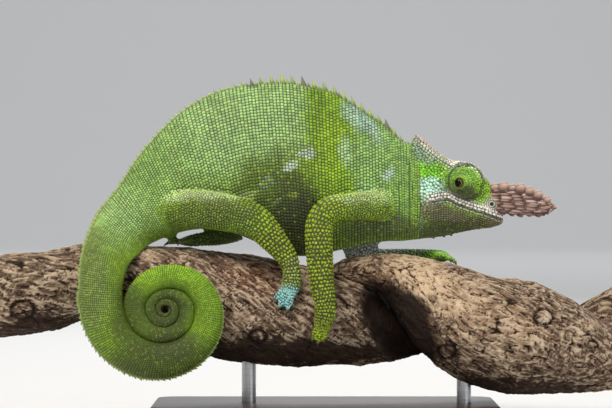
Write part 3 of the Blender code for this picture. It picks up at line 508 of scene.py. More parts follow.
# Folds and furrows: x, z of a line, its half width and its depth, and the side it is on or 0 for both
FOLDS = [
    (((43.2, 108.0), (43.8, 98.0), (43.4, 88.0), (42.6, 79.0)), 1.1, 0.75, 0),
    (((39.6, 100.0), (39.0, 92.0), (39.8, 84.0)), 0.9, 0.35, 0),
    (((46.0, 86.0), (52.0, 82.6), (60.0, 80.6), (68.0, 80.8)), 0.8, 0.3, 0),
    (((46.4, 83.0), (54.0, 79.6), (63.0, 78.4)), 0.7, 0.3, 0),
    (((60.5, 97.0), (60.8, 101.5), (62.0, 105.0)), 0.7, 0.35, 0),
    (((59.5, 94.6), (63.0, 93.4), (68.6, 92.6), (73.4, 94.6)), 0.7, 0.4, 0),
    (((16.0, 96.5), (24.0, 97.5), (31.0, 96.5)), 1.0, 0.4, -1),
    (((-56.0, 97.5), (-46.0, 98.5), (-34.0, 97.0), (-24.0, 93.0)), 1.1, 0.4, -1),
    (((3.4, 92.0), (7.4, 86.6), (11.0, 83.4)), 0.9, 0.5, -1),
    (((-19.5, 88.0), (-18.6, 80.4), (-16.0, 75.0)), 0.8, 0.35, -1),
    (((-12.6, 64.4), (-7.0, 65.6), (-2.0, 66.4)), 0.7, 0.45, -1),
    (((1.0, 50.2), (7.0, 51.4), (13.0, 50.4)), 0.7, 0.4, -1),
]
TURRET_RIM = 7.3
TURRET_FURROW = 0.7
TURRET_FURROW_WIDTH = 0.75
MOUTH_WIDTH = 0.42
MOUTH_DEPTH = 0.75
NOSTRIL_WIDTH = 0.75
NOSTRIL_DEPTH = 1.3
MUSCLE_FOLDS = 0.28
MUSCLE_PITCH = 8.5


def folds(points):
    """How far each point of the skin is drawn in, in mm."""
    x, y, z = points.T
    drawn = np.zeros(len(points))
    for line, width, depth, side in FOLDS:
        away = line_distance(points, line)
        share = np.exp(-((away / width) ** 2))
        if side:
            share = share * (y * side > 2.0)
        drawn += depth * share
    away = line_distance(points, MOUTH)
    drawn += MOUTH_DEPTH * np.exp(-((away / MOUTH_WIDTH) ** 2))
    away = np.hypot(x - TURRET_CENTRE[0], z - TURRET_CENTRE[2]) - TURRET_RIM
    drawn += TURRET_FURROW * np.exp(-((away / TURRET_FURROW_WIDTH) ** 2))
    away = np.hypot(x - NOSTRIL[0], z - NOSTRIL[1])
    drawn += NOSTRIL_DEPTH * np.exp(-((away / NOSTRIL_WIDTH) ** 2))
    flank = smooth_step(-70, -50, x) * smooth_step(38, 20, x)
    flank = flank * smooth_step(84, 96, z) * smooth_step(138, 124, z)
    wave = np.sin((x + 0.22 * (z - 100)) * TAU / MUSCLE_PITCH + 0.8 * np.sin(z / 11.0))
    return drawn + MUSCLE_FOLDS * flank * (0.5 - 0.5 * wave) * (np.abs(y) > 4)


class Surface:
    """The skin in mm, with the nearest place on it and its smooth normal there."""

    def __init__(self, mesh):
        self.points = points_of(mesh)
        self.normals = normals_of(mesh)
        self.faces = [list(face.vertices) for face in mesh.polygons]
        self.tree = BVHTree.FromPolygons(self.points.tolist(), self.faces)

    def nearest(self, places, limit):
        """Which places are within limit, then their hits and normals."""
        kept, hits, normals = [], [], []
        for number, place in enumerate(places):
            hit, _, face, _ = self.tree.find_nearest(Vector(place), limit)
            if hit is None:
                continue
            corners = self.faces[face]
            gap = np.linalg.norm(self.points[corners] - np.array(hit), axis=1)
            share = 1 / (gap + 0.02)
            normal = (self.normals[corners] * share[:, None]).sum(0)
            kept.append(number)
            hits.append(hit)
            normals.append(normal / np.linalg.norm(normal))
        return np.array(kept, int), np.array(hits), np.array(normals)


def turret_axes(side):
    """The eye turret's centre, its lid's middle, the line of sight and two axes square to it."""
    centre, middle = (Vector((x, side * y, z)) for x, y, z in (TURRET_CENTRE, LID_OPENING))
    axis = (middle - centre).normalized()
    first = axis.cross(Vector((0, 0, 1))).normalized()
    return centre, middle, axis, first, axis.cross(first)


# Camera, floor and light

LENS = 200.0
SENSOR = 36.0
PHOTO_WIDTH = 0.25704
CAMERA_HEIGHT = 0.09114
FLOOR_HALF = 9.0
FLOOR_RISE = 4.5
FLOOR_BACK = 7.5
FLOOR_CURVE = 1.8
SUBJECT = (0.0, 0.0, 0.08)
# Lamps: place and size in metres, power, colour, aim
LIGHTS = {
    "key_softbox": ((-0.5, -0.95, 1.5), 0.8, 30.0, "#fff7ec", SUBJECT),
    "fill_softbox": ((1.15, -1.25, 0.6), 1.1, 6.0, "#f4f7ff", SUBJECT),
    "rim_softbox": ((0.25, 1.1, 1.0), 0.8, 8.5, "#ffffff", SUBJECT),
    "backdrop": ((0.0, 4.0, 3.2), 4.0, 62.0, "#ffffff", (0.0, 5.2, 0.0)),
}
WORLD_STRENGTH = 0.3


def linear(code):
    """An sRGB hex colour as linear red, green and blue."""
    values = [int(code[i : i + 2], 16) / 255 for i in (1, 3, 5)]
    return [v / 12.92 if v <= 0.04045 else ((v + 0.055) / 1.055) ** 2.4 for v in values]


def make_camera():
    data = bpy.data.cameras.new("camera")
    data.lens = LENS
    data.sensor_width = SENSOR
    camera = in_scene("camera", data)
    camera.location = (0, -PHOTO_WIDTH / SENSOR * LENS, CAMERA_HEIGHT)
    camera.rotation_euler = (math.pi / 2, 0, 0)
    data.clip_start = 0.05
    bpy.context.scene.camera = camera


def make_light():
    for name, (place, size, power, code, target) in LIGHTS.items():
        data = bpy.data.lights.new(name, "AREA")
        data.size = size
        data.energy = power
        data.color = linear(code)
        lamp = in_scene(name, data)
        lamp.location = place
        aim = Vector(target) - Vector(place)
        lamp.rotation_euler = aim.to_track_quat("-Z", "Y").to_euler()
    world = bpy.data.worlds.new("studio")
    world.use_nodes = True
    sky = world.node_tree.nodes["Background"]
    sky.inputs["Color"].default_value = (*linear("#f1f3f5"), 1)
    sky.inputs["Strength"].default_value = WORLD_STRENGTH
    bpy.context.scene.world = world


def make_floor():
    """A plain floor that curves up behind the object."""
    profile = [(-FLOOR_HALF, 0.0)]
    for i in range(13):
        angle = math.pi / 2 * i / 12
        radius = FLOOR_CURVE
        profile.append((FLOOR_BACK - radius + radius * math.sin(angle), radius - radius * math.cos(angle)))
    profile.append((FLOOR_BACK, FLOOR_RISE))
    points = [(side * FLOOR_HALF, y, z) for y, z in profile for side in (-1, 1)]
    faces = [(2 * i, 2 * i + 1, 2 * i + 3, 2 * i + 2) for i in range(len(profile) - 1)]
    floor = mesh_object("floor", np.array(points) / MM, faces)
    floor.data.shade_smooth()
    floor.data.materials.append(plain_paint())


# Materials


def add(tree, kind, settings=None, **links):
    """Adds a node with its own settings: each link is a value, or the socket that feeds the input."""
    node = tree.nodes.new(kind)
    for key, value in (settings or {}).items():
        setattr(node, key, value)
    for key, value in links.items():
        name = key.replace("_", " ")
        socket = node.inputs[int(key[1:])] if key[0] == "i" and key[1:].isdigit() else node.inputs[name]
        if isinstance(value, bpy.types.NodeSocket):
            tree.links.new(value, socket)
        else:
            socket.default_value = value
    return node


def material(name):
    """An empty node material with its shader: (material, tree, shader)."""
    made = bpy.data.materials.new(name)
    made.use_nodes = True
    tree = made.node_tree
    return made, tree, tree.nodes["Principled BSDF"]


def ramp(tree, value, stops):
    """A colour ramp fed by value, through (place, hex colour) stops."""
    node = add(tree, "ShaderNodeValToRGB", i0=value)
    elements = node.color_ramp.elements
    while len(elements) < len(stops):
        elements.new(0.5)
    for element, (place, code) in zip(elements, stops):
        element.position = place
        element.color = (*linear(code), 1)
    return node.outputs["Color"]


def calc(tree, operation, *values):
    settings = {"operation": operation}
    return add(tree, "ShaderNodeMath", settings, **{f"i{i}": v for i, v in enumerate(values)}).outputs[0]


def blend(tree, share, low, high):
    """Mixes two colours, each a socket or a hex code."""
    node = tree.nodes.new("ShaderNodeMix")
    node.data_type = "RGBA"
    for index, value in ((0, share), (6, low), (7, high)):
        if isinstance(value, bpy.types.NodeSocket):
            tree.links.new(value, node.inputs[index])
        elif isinstance(value, str):
            node.inputs[index].default_value = (*linear(value), 1)
        else:
            node.inputs[index].default_value = value
    return node.outputs[2]


def grain(tree, size, detail=3.0, stretch=(1, 1, 1), rough=0.55):
    """Noise in object space whose spots are about `size` mm, stretched by each axis's factor."""
    where = add(tree, "ShaderNodeTexCoord").outputs["Object"]
    scale = [1 / (size * MM * factor) for factor in stretch]
    mapped = add(tree, "ShaderNodeMapping", Vector=where, Scale=scale).outputs[0]
    return add(
        tree, "ShaderNodeTexNoise", Vector=mapped, Scale=1.0, Detail=detail, Roughness=rough
    ).outputs[0]


def set_inputs(shader, **values):
    for key, value in values.items():
        shader.inputs[key.replace("_", " ")].default_value = value


def plain_paint():
    """Matt off-white studio floor: it gives the eye nothing but the soft shadow."""
    made, _, shader = material("floor_paint_matt")
    set_inputs(shader, Base_Color=(*linear("#e4e5e6"), 1), Roughness=0.9)
    return made


def skin_material():
    """Living skin between the scales: the markings, darkened with painted shade as in a furrow, with a faint wet
    sheen.
    """
    made, tree, shader = material("chameleon_skin_furrows")
    tone = add(tree, "ShaderNodeAttribute", {"attribute_name": "tone"}).outputs["Color"]
    fine = grain(tree, 0.5, 4.0)
    # painted shade: the skin between the scales is blended most of the way to near black
    colour = blend(tree, 0.8, tone, "#0b0e05")
    colour = blend(tree, calc(tree, "MULTIPLY", fine, 0.16), colour, "#4c5428")
    tree.links.new(colour, shader.inputs["Base Color"])
    set_inputs(shader, Roughness=0.6)
    bump = add(tree, "ShaderNodeBump", Height=grain(tree, 0.35, 2.0), Strength=0.5, Distance=0.12 * MM).outputs[0]
    tree.links.new(bump, shader.inputs["Normal"])
    return made


def scale_material():
    """Horny scales: the markings scale by scale, each darkened towards its foot with painted shade, so lighter on
    its crown, with a soft waxy sheen.
    """
    made, tree, shader = material("chameleon_scale_keratin")
    tone = add(tree, "ShaderNodeAttribute", {"attribute_name": "tone"}).outputs["Color"]
    chance = add(tree, "ShaderNodeAttribute", {"attribute_name": "chance"}).outputs["Fac"]
    local = add(tree, "ShaderNodeAttribute", {"attribute_name": "local"}).outputs["Vector"]
    high = add(tree, "ShaderNodeSeparateXYZ", Vector=local).outputs["Z"]
    crown = add(tree, "ShaderNodeMapRange", Value=high, From_Min=-0.1, From_Max=0.95).outputs[0]
    value = calc(tree, "MULTIPLY_ADD", chance, 0.5, 0.86)
    varied = add(tree, "ShaderNodeHueSaturation", Saturation=1.16, Value=value, Color=tone).outputs[0]
    yellow = calc(tree, "GREATER_THAN", chance, 0.9)
    varied = blend(tree, calc(tree, "MULTIPLY", yellow, 0.22), varied, "#b9c84a")
    # painted shade: each scale darkens to near black towards its foot
    shaded = blend(tree, calc(tree, "SUBTRACT", 1.0, crown), varied, "#0e1205")
    speck = grain(tree, 0.22, 2.0)
    colour = blend(tree, calc(tree, "MULTIPLY", speck, 0.1), shaded, "#c9d79a")
    tree.links.new(colour, shader.inputs["Base Color"])
    set_inputs(shader, Roughness=0.48, Specular_IOR_Level=0.3)
    set_inputs(shader, Subsurface_Weight=0.06, Subsurface_Scale=0.4 * MM)
    bump = add(tree, "ShaderNodeBump", Height=speck, Strength=0.35, Distance=0.08 * MM).outputs[0]
    tree.links.new(bump, shader.inputs["Normal"])
    return made


# Places of the scales

FLANK_PITCH = 1.36
NECK_PITCH = 1.12
REAR_PITCH = 1.02
TAIL_PITCH = 0.98
TIP_PITCH = 0.55
LIMB_PITCH = 1.62
UPPER_FINENESS = 0.3
LOWER_FINENESS = 0.25
# Where the rows grow finer: x in mm on the trunk, and shares of a limb's length
REAR_BLEND = (-42, -72)
NECK_BLEND = (30, 42)
THIGH_BLEND = (0.62, 0.4)
ARM_BLEND = (0.44, 0.2)
LOWER_BLEND = (0.72, 1.0)
UNDERSIDE = -0.75
LIMB_JITTER = 0.16
DIGIT_PITCH = 1.15
HEAD_PITCH = 0.95
GRAIN_PITCH = 0.78
SNAP_LIMIT = 1.25
SEED = 7


def scale_pitch(member, place, share):
    """How far apart the rows and the scales in a row are, in mm."""
    if member == "coil":
        return TAIL_PITCH + (TIP_PITCH - TAIL_PITCH) * share**1.3
    if member == "trunk":
        rear = smooth_step(*REAR_BLEND, place[0])
        front = smooth_step(*NECK_BLEND, place[0])
        return FLANK_PITCH + (REAR_PITCH - FLANK_PITCH) * rear + (NECK_PITCH - FLANK_PITCH) * front
    if member in LIMBS:
        thigh = "leg" in member or "thigh" in member
        upper = UPPER_FINENESS * smooth_step(*(THIGH_BLEND if thigh else ARM_BLEND), share)
        return LIMB_PITCH * (1 - upper - LOWER_FINENESS * smooth_step(*LOWER_BLEND, share))
    return DIGIT_PITCH


def row_points(member, rings):
    """Scales in rows across a member: place, direction, both sizes, and where it is along and round."""
    middles = rings.mean(1)
    reach = lengths_along(middles)
    total = reach[-1]
    found = []
    run, row = 0.3, 0
    while run < total - 0.2:
        i = min(int(np.searchsorted(reach, run, side="right")) - 1, len(rings) - 2)
        share = (run - reach[i]) / max(reach[i + 1] - reach[i], 1e-6)
        ring = rings[i] + (rings[i + 1] - rings[i]) * share
        stride = (rings[i + 1] - rings[i]) / max(reach[i + 1] - reach[i], 1e-6)
        closed = np.vstack([ring, ring[:1]])
        strides = np.vstack([stride, stride[:1]])
        length = lengths_along(closed)
        pitch = float(scale_pitch(member, middles[i], run / total))
        count = max(5, round(length[-1] / pitch))
        stagger = 0.08 * (row % 3) if member in ("trunk", "coil") else 0.5 * (row % 2)
        at = (np.arange(count) + stagger) / count * length[-1]
        place = along(at, length, closed)
        ahead = along((at + 0.3) % length[-1], length, closed) - place
        gap = np.linalg.norm(along(at, length, strides), axis=1)
        across = np.full(count, length[-1] / count)
        shares = np.full(count, run / total), at / length[-1]
        found.append(np.column_stack([place, ahead, across, gap * pitch, *shares]))
        run += pitch
        row += 1
    return np.vstack(found)


class Coat:
    """All scales: place, outward normal, direction, half sizes, height, kind, member and two shares."""

    def __init__(self, surface):
        self.surface = surface
        self.rows = []

    def put(self, member, kind, places, ahead, half_ahead, half_aside, height, shares, limit=SNAP_LIMIT):
        """Snaps places onto the skin and keeps those that lie near it."""
        kept, hits, normals = self.surface.nearest(places, limit)
        if not len(kept):
            return
        count = len(kept)

        def picked(value):
            return np.broadcast_to(np.asarray(value, float), (len(places),))[kept]

        ahead = np.asarray(ahead, float)[kept]
        ahead = unit(ahead - normals * (ahead * normals).sum(1, keepdims=True))
        self.rows.append(
            {
                "place": hits,
                "normal": normals,
                "ahead": ahead,
                "half": np.column_stack([picked(half_ahead), picked(half_aside), picked(height)]),
                "kind": np.full(count, KINDS.index(kind)),
                "member": np.full(count, member),
                "shares": np.asarray(shares, float)[kept],
            }
        )

    def all(self):
        return {key: np.concatenate([row[key] for row in self.rows]) for key in self.rows[0]}


KINDS = ("plate", "bead", "keel", "scute")


# The scales in rows: their shape, half their width as a share of the pitch, and their height
ROW_SCALES = {
    "trunk": ("plate", 0.47, 0.17),
    "coil": ("plate", 0.47, 0.2),
    "limb": ("bead", 0.43, 0.3),
    "digit": ("bead", 0.47, 0.26),
}


def lay_rows(coat, members):
    """The rows of scales across trunk, tail, limbs and digits."""
    for member, rings in members.items():
        found = row_points(member, rings)
        place, ahead, across, gap = found[:, :3], found[:, 3:6], found[:, 6], found[:, 7]
        part = member if member in ROW_SCALES else "limb" if member in LIMBS else "digit"
        kind, fill, high = ROW_SCALES[part]
        least = np.minimum(across, gap)
        if kind == "bead":
            draw = np.random.default_rng(SEED + len(place))
            place = place + draw.normal(0, LIMB_JITTER, place.shape)
        coat.put(member, kind, place, ahead, across * fill, gap * fill, least * high, found[:, 8:10])


def side_hit(surface, x, z, side):
    """Where the skin is met at x and z from one side, and its normal there."""
    return surface.tree.ray_cast(Vector((x, side * 40, z)), Vector((0, -side, 0)))[:2]


def side_hits(surface, line, side, rise, pitch):
    """Places along a line of (x, z) on the head's side, seen from that side, `pitch` mm apart."""
    fine = np.array(flow([list(point) for point in line], 6))
    length = lengths_along(fine)
    at = np.arange(pitch / 2, length[-1], pitch)
    found = []
    for x, z in along(at, length, fine):
        hit, flat = side_hit(surface, x, z + rise, side)
        if hit and flat.z > UNDERSIDE:
            found.append(tuple(hit))
    return np.array(found)


def lay_line(coat, places, kind, pitch, aside, height, limit=1.0):
    """Scales along a line of places, each as long as the pitch."""
    if len(places) < 3:
        return
    ahead = np.gradient(places, axis=0)
    shares = head_shares(places)
    coat.put("head", kind, places, ahead, pitch * 0.5, aside, height, shares, limit)


def head_shares(places):
    """Where a place is on the head's unwrap: along its length, and round it from the crown."""
    x, y, z = places.T
    round_ = np.arctan2(y, z - 94.0) / TAU + 0.5
    return np.column_stack([(x - 42.0) / 42.0, round_])


NOSTRIL_RINGS = ((1.15, 0.72), (2.0, 0.84), (2.85, 0.9))
NOSTRIL_CLEAR = 0.85
LID_CLEAR = 2.5
LID_OPENING_FROM = 8
JAW_ROWS = tuple(-2.85 - 0.92 * k for k in range(8))
TURRET_RINGS = (24, 31, 38, 45, 52, 59, 66, 73, 80)
TURRET_RADIUS = 6.5
TURRET_PITCH = 0.8
# Lines of scales on the head: shape, line, rise above it, pitch, half width, height
LINES = (
    ("keel", MOUTH, 1.15, 1.7, 0.62, 0.42),
    ("plate", MOUTH, 2.35, 1.35, 0.6, 0.28),
    ("keel", MOUTH, -0.95, 1.55, 0.5, 0.34),
    ("plate", MOUTH, -1.95, 1.3, 0.55, 0.22),
    ("plate", SIDE_CREST, 0.3, 1.5, 0.66, 0.42),
    ("plate", SIDE_CREST, -1.1, 1.3, 0.6, 0.26),
    ("bead", BROW, 0.35, 1.3, 0.62, 0.5),
    ("bead", BROW, 1.5, 1.25, 0.6, 0.34),
)


def lay_head(coat):
    """Rows of the head: on the jaw, the lips and the crests, and rings on turrets and nostrils."""
    surface = coat.surface
    for side in (-1, 1):
        for rise in JAW_ROWS:
            lay_line(coat, side_hits(surface, MOUTH, side, rise, 1.08), "scute", 1.08, 0.43, 0.2)
        for kind, line, rise, pitch, aside, height in LINES:
            lay_line(coat, side_hits(surface, line, side, rise, pitch), kind, pitch, aside, height)
        centre, _, axis, first, second = turret_axes(side)
        for number, degrees in enumerate(TURRET_RINGS):
            radius = TURRET_RADIUS * math.sin(math.radians(degrees))
            rise = TURRET_RADIUS * math.cos(math.radians(degrees))
            count = round(TAU * radius / TURRET_PITCH)
            angles = [TAU * (k + 0.5 * (number % 2)) / count for k in range(count)]
            spokes = [first * math.cos(angle) + second * math.sin(angle) for angle in angles]
            places = np.array([tuple(centre + axis * rise + spoke * radius) for spoke in spokes])
            ahead = np.roll(places, -1, 0) - places
            coat.put("head", "bead", places, ahead, 0.37, 0.33, 0.26, head_shares(places), 1.3)
        for radius, pitch in NOSTRIL_RINGS:
            count = round(TAU * radius / pitch)
            angles = np.arange(count) * TAU / count
            ring = NOSTRIL + radius * np.column_stack([np.cos(angles), np.sin(angles)])
            hits = [side_hit(surface, x, z, side)[0] for x, z in ring]
            places = np.array([tuple(hit) for hit in hits if hit])
            ahead = np.roll(places, -1, 0) - places
            coat.put("head", "plate", places, ahead, pitch / 2, 0.44, 0.24, head_shares(places), 0.6)


HEAD_HALF = 0.56
HEAD_BACK = 44.6
HEAD_LOW = 74.0
# How near small scales may lie: to each other, and beside those in rows, as shares of their pitch
FILL_GAP = 0.86
ROW_GAP = 0.36
PLATE_REACH = 1.22
SPREAD_STEP = 0.3
EDGE_CLEAR = 0.7
CASQUE_TIP = (47.6, 119.6)
SPREAD_TURNS = 4


def spread_evenly(places, half, held, held_half):
    """Places on the head moved apart from their nearest, so that the scales lie close and even."""
    moving = np.flatnonzero((places[:, 0] > HEAD_BACK) & (places[:, 2] > HEAD_LOW))
    near_head = np.flatnonzero((held[:, 0] > HEAD_BACK - 2.6) & (held[:, 2] > HEAD_LOW - 2))
    places = places.copy()
    for _ in range(SPREAD_TURNS):
        every = np.vstack([places[moving], held[near_head]])
        size = np.concatenate([half[moving], held_half[near_head]])
        tree = near_tree(every)
        moved = every[: len(moving)].copy()
        for number in range(len(moving)):
            for near, other, away in tree.find_n(every[number], 8):
                short = size[number] + size[other] - away
                if other != number and short > 0 and away > 1e-4:
                    moved[number] += (every[number] - every[other]) / away * short * SPREAD_STEP
        places[moving] = moved
    return places


def lay_fill(coat, samples, owners, grade, room):
    """Small scales wherever there is room, thrown in a fixed order: `grade` times the place's pitch."""
    surface = coat.surface
    laid = coat.all()
    tree = near_tree(laid["place"])
    reach = laid["half"][:, :2].mean(1) * np.where(laid["kind"] == KINDS.index("plate"), PLATE_REACH, 1.0)
    draw = np.random.default_rng(SEED)
    taken, chosen = {}, []
    for number in draw.permutation(surface.body_count):
        place = surface.points[number]
        _, near, away = tree.find(place)
        head = place[0] > HEAD_BACK and place[2] > HEAD_LOW
        x, y, z = place
        if math.hypot(x - NOSTRIL[0], z - NOSTRIL[1]) < NOSTRIL_CLEAR:
            continue
        if math.hypot(x - LID_OPENING[0], z - LID_OPENING[2]) < LID_CLEAR and abs(y) > LID_OPENING_FROM:
            continue
        edge = head and abs(place[1]) < EDGE_CLEAR and surface.normals[number][2] < -0.3
        if edge or (place[0] < CASQUE_TIP[0] and place[2] > CASQUE_TIP[1]):
            continue
        pitch = grade * (head_pitch(place) if head else GRAIN_PITCH)
        if away < reach[near] * room + pitch * ROW_GAP:
            continue
        key = tuple(int(math.floor(c / HEAD_PITCH)) for c in place)
        cells = product(*[(c - 1, c, c + 1) for c in key])
        others = [surface.points[other] for cell in cells for other in taken.get(cell, ())]
        if others and ((np.array(others) - place) ** 2).sum(1).min() < (pitch * FILL_GAP) ** 2:
            continue
        taken.setdefault(key, []).append(number)
        chosen.append((number, pitch))
    numbers = np.array([number for number, pitch in chosen])
    pitch = np.array([pitch for number, pitch in chosen])
    places = spread_evenly(surface.points[numbers], pitch * HEAD_HALF, laid["place"], reach)
    nearest = [samples.find(place)[1] for place in places]
    members = np.array([owners[number][0] for number in nearest])
    shares = np.array([owners[number][1:3] for number in nearest], float)
    ahead = np.cross(surface.normals[numbers], [0.2, 1.0, 0.1])
    for member in sorted(set(members)):
        own = members == member
        half = pitch[own] * (HEAD_HALF if member == "head" else 0.5)
        high = half * (0.4 if member == "head" else 0.6)
        own_shares = head_shares(places[own]) if member == "head" else shares[own]
        kind = "scute" if member == "head" else "bead"
        coat.put(member, kind, places[own], ahead[own], half, half * 0.94, high, own_shares)


TURRET_REACH, TURRET_GRAIN = 7.4, 0.74
THROAT_BELOW, THROAT_GRAIN = 84, 0.92
SNOUT_FROM, SNOUT_PLATE = 73, 1.05
CROWN_FROM, TEMPLE_BEHIND, CROWN_PLATE = 104, 60, 1.28
CHEEK_PLATE = 1.1


def head_pitch(place):
    """Larger plates on the temple, the crown and the snout, finer grains on turret and throat."""
    x, _, z = place
    turret = math.hypot(x - LID_OPENING[0], z - LID_OPENING[2])
    if turret < TURRET_REACH:
        return TURRET_GRAIN
    if z < THROAT_BELOW:
        return THROAT_GRAIN
    if x > SNOUT_FROM:
        return SNOUT_PLATE
    return CROWN_PLATE if z > CROWN_FROM or x < TEMPLE_BEHIND else CHEEK_PLATE


# Markings


# Zones of colour: middle x, z, half width, half height, turn in degrees, hex colour, strength, softness
BASE_GREEN = "#7f9f3f"
ZONES = [
    (-30.0, 124.0, 42.0, 21.0, 18, "#9fc083", 0.95, 0.5),
    (-66.0, 104.0, 20.0, 22.0, 40, "#8db06a", 0.9, 0.6),
    (-52.0, 92.0, 20.0, 9.0, 8, "#9bbd70", 0.75, 0.6),
    (-79.0, 87.0, 12.0, 13.0, 35, "#a6c886", 0.85, 0.6),
    (9.0, 118.0, 8.5, 31.0, 5, "#7ba022", 0.95, 0.35),
    (14.5, 105.0, 7.0, 20.0, 8, "#8fb52e", 0.75, 0.5),
    (-14.0, 90.0, 17.0, 19.0, -8, "#485a12", 0.95, 0.45),
    (-2.0, 84.0, 9.0, 16.0, 8, "#1e2704", 0.9, 0.6),
    (-18.0, 99.0, 7.0, 4.6, 12, "#56702a", 0.6, 0.6),
    (32.0, 112.0, 14.0, 16.0, -35, "#93ba78", 0.9, 0.45),
    (38.0, 96.0, 9.0, 15.0, 4, "#86ad66", 0.8, 0.5),
    # painted shade: the chest and the belly's underside, darker in this and the next zone
    (31.0, 81.0, 18.0, 6.0, 0, "#4b5432", 0.85, 0.5),
    (-8.0, 73.5, 26.0, 5.0, 0, "#3f4a22", 0.8, 0.5),
    (-90.0, 62.0, 9.0, 24.0, 6, "#71864a", 0.9, 0.4),
    (-64.0, 20.0, 30.0, 9.0, 0, "#4f5d28", 0.95, 0.6),
    (-50.0, 30.0, 22.0, 8.0, -35, "#5a6b25", 0.6, 0.6),
    # the outer turn's bright green, here and in the next zone, is its own colour lifted partly with painted light
    # where it catches the lamp
    (-40.0, 46.0, 8.0, 17.0, 0, "#76a010", 0.9, 0.5),
    (-54.0, 62.0, 18.0, 7.5, 8, "#84b404", 0.95, 0.4),
    # painted shade: the coil's recessed inner turns, darker in this and the next two zones
    (-73.0, 46.0, 6.5, 15.0, 0, "#486008", 0.9, 0.5),
    (-57.0, 31.5, 17.0, 6.5, 0, "#38460a", 0.9, 0.5),
    (-57.0, 47.0, 10.0, 10.0, 0, "#2c3a08", 0.9, 0.5),
]
FLANK_SPOTS = [
    (0.2, 112.5, 3.2, 2.0, 12, "#b9cbb4", 0.9, 0.5),
    (-6.3, 106.6, 3.6, 2.3, 20, "#c3d2c2", 0.95, 0.45),
    (22.0, 128.0, 7.6, 4.6, -42, "#a9c6bd", 0.75, 0.5),
    (28.0, 122.0, 5.0, 3.2, -42, "#b7cfca", 0.6, 0.6),
    (16.5, 113.0, 2.7, 6.0, 10, "#a8c49a", 0.8, 0.5),
    (34.8, 103.8, 2.2, 2.4, 0, "#b4c8bd", 0.8, 0.5),
    (-17.0, 100.0, 5.0, 0.7, 18, "#7f9488", 0.55, 0.5),
    (-15.0, 97.6, 5.4, 0.6, 18, "#75897e", 0.5, 0.5),
    (-13.0, 103.2, 4.4, 0.6, 20, "#84998a", 0.45, 0.5),
    (-12.0, 92.5, 3.0, 1.2, 30, "#7c8c52", 0.7, 0.5),
    (-24.0, 95.6, 3.4, 1.5, 10, "#93a56a", 0.7, 0.5),
    (-6.0, 96.0, 2.2, 1.4, 40, "#7d9240", 0.7, 0.5),
    (5.0, 133.0, 2.6, 8.0, 0, "#6a9016", 0.7, 0.5),
    (-23.4, 140.6, 2.6, 1.6, 0, "#514a46", 0.85, 0.5),
    (0.0, 140.8, 1.4, 1.2, 0, "#5a5048", 0.85, 0.5),
    (26.0, 97.0, 5.0, 3.0, -10, "#a3c79b", 0.6, 0.6),
    (24.0, 107.0, 3.0, 5.0, 10, "#8fb46e", 0.6, 0.6),
]
LIMB_ZONES = [
    (24.0, 94.8, 16.0, 3.6, 0, "#cfe6a4", 0.95, 0.5),
    (22.0, 88.0, 14.0, 4.0, 0, "#86a04a", 0.7, 0.5),
    (5.0, 66.0, 8.0, 22.0, 0, "#6f7d35", 0.9, 0.4),
    (6.0, 41.0, 8.0, 10.0, 0, "#5b6430", 0.9, 0.4),
    (5.0, 34.6, 5.0, 4.0, 0, "#6f9a3a", 0.8, 0.5),
    (-42.0, 95.2, 24.0, 3.0, 2, "#d6eab4", 0.97, 0.5),
    (-42.0, 86.0, 22.0, 6.0, 2, "#5d7132", 0.85, 0.5),
    (-12.0, 74.0, 8.0, 10.0, -30, "#66742f", 0.9, 0.5),
    (-5.0, 62.0, 6.0, 6.5, 0, "#7d8468", 0.85, 0.5),
    (-9.0, 50.0, 9.0, 7.4, 0, "#9fd6dc", 0.97, 0.3),
]
FAR_ZONES = [
    (40.0, 69.0, 14.0, 4.0, 0, "#8aa378", 0.85, 0.5),
    (22.0, 73.0, 15.0, 12.0, 0, "#dfe9e6", 0.97, 0.4),
    (58.0, 69.0, 8.0, 5.0, 0, "#86c63a", 0.95, 0.4),
    # painted shadow: the far thigh, lying in the body's shadow
    (-44.0, 80.0, 20.0, 8.0, 0, "#54662f", 0.9, 0.5),
]
HEAD_ZONES = [
    (44.5, 98.0, 5.0, 24.0, 0, "#93bda0", 0.95, 0.5),
    (52.0, 105.5, 7.4, 4.6, -30, "#7cbc48", 0.95, 0.4),
    (50.0, 112.5, 6.0, 3.0, -38, "#8a9f8c", 0.85, 0.5),
    (49.0, 118.0, 6.0, 3.2, -45, "#95887e", 0.9, 0.5),
    (52.5, 97.0, 6.6, 4.6, 6, "#c0e8d8", 0.95, 0.4),
    (66.0, 103.0, 8.2, 7.6, 0, "#a6dc70", 0.95, 0.4),
    (66.0, 96.0, 7.8, 4.2, 0, "#525d3c", 0.9, 0.5),
    (74.5, 96.0, 4.0, 6.4, 12, "#a8d65c", 0.95, 0.5),
    (68.0, 109.0, 8.0, 1.8, 4, "#c4ceba", 0.85, 0.5),
    (56.0, 87.0, 16.0, 4.2, -8, "#6d6a55", 0.95, 0.5),
    (79.5, 86.5, 3.4, 3.6, 0, "#a98f80", 0.9, 0.6),
    (72.0, 83.5, 9.0, 2.4, -12, "#7f7261", 0.7, 0.6),
    (60.0, 80.0, 19.0, 5.0, 8, "#4a5037", 0.9, 0.5),
    (78.0, 91.0, 3.6, 3.6, 0, "#c4c2bb", 0.9, 0.4),
]
CASQUE_RIDGE = ((45.9, 121.4), (48.7, 119.2), (52.9, 115.6), (57.1, 112.6), (61.3, 110.2))
HEAD_LINES = [
    (MOUTH, 1.5, 1.9, "#f2ece8", 0.97),
    # painted shade along the mouth's crease
    (MOUTH, 0.0, 0.5, "#3a3a28", 0.9),
    (SIDE_CREST, 0.0, 1.2, "#b9c9bb", 0.85),
    (BROW, 1.0, 1.7, "#ece8e2", 0.95),
    (CASQUE_RIDGE, 0.0, 1.8, "#e0c3b6", 0.95),
]
TURRET_RING_PITCH = 1.6
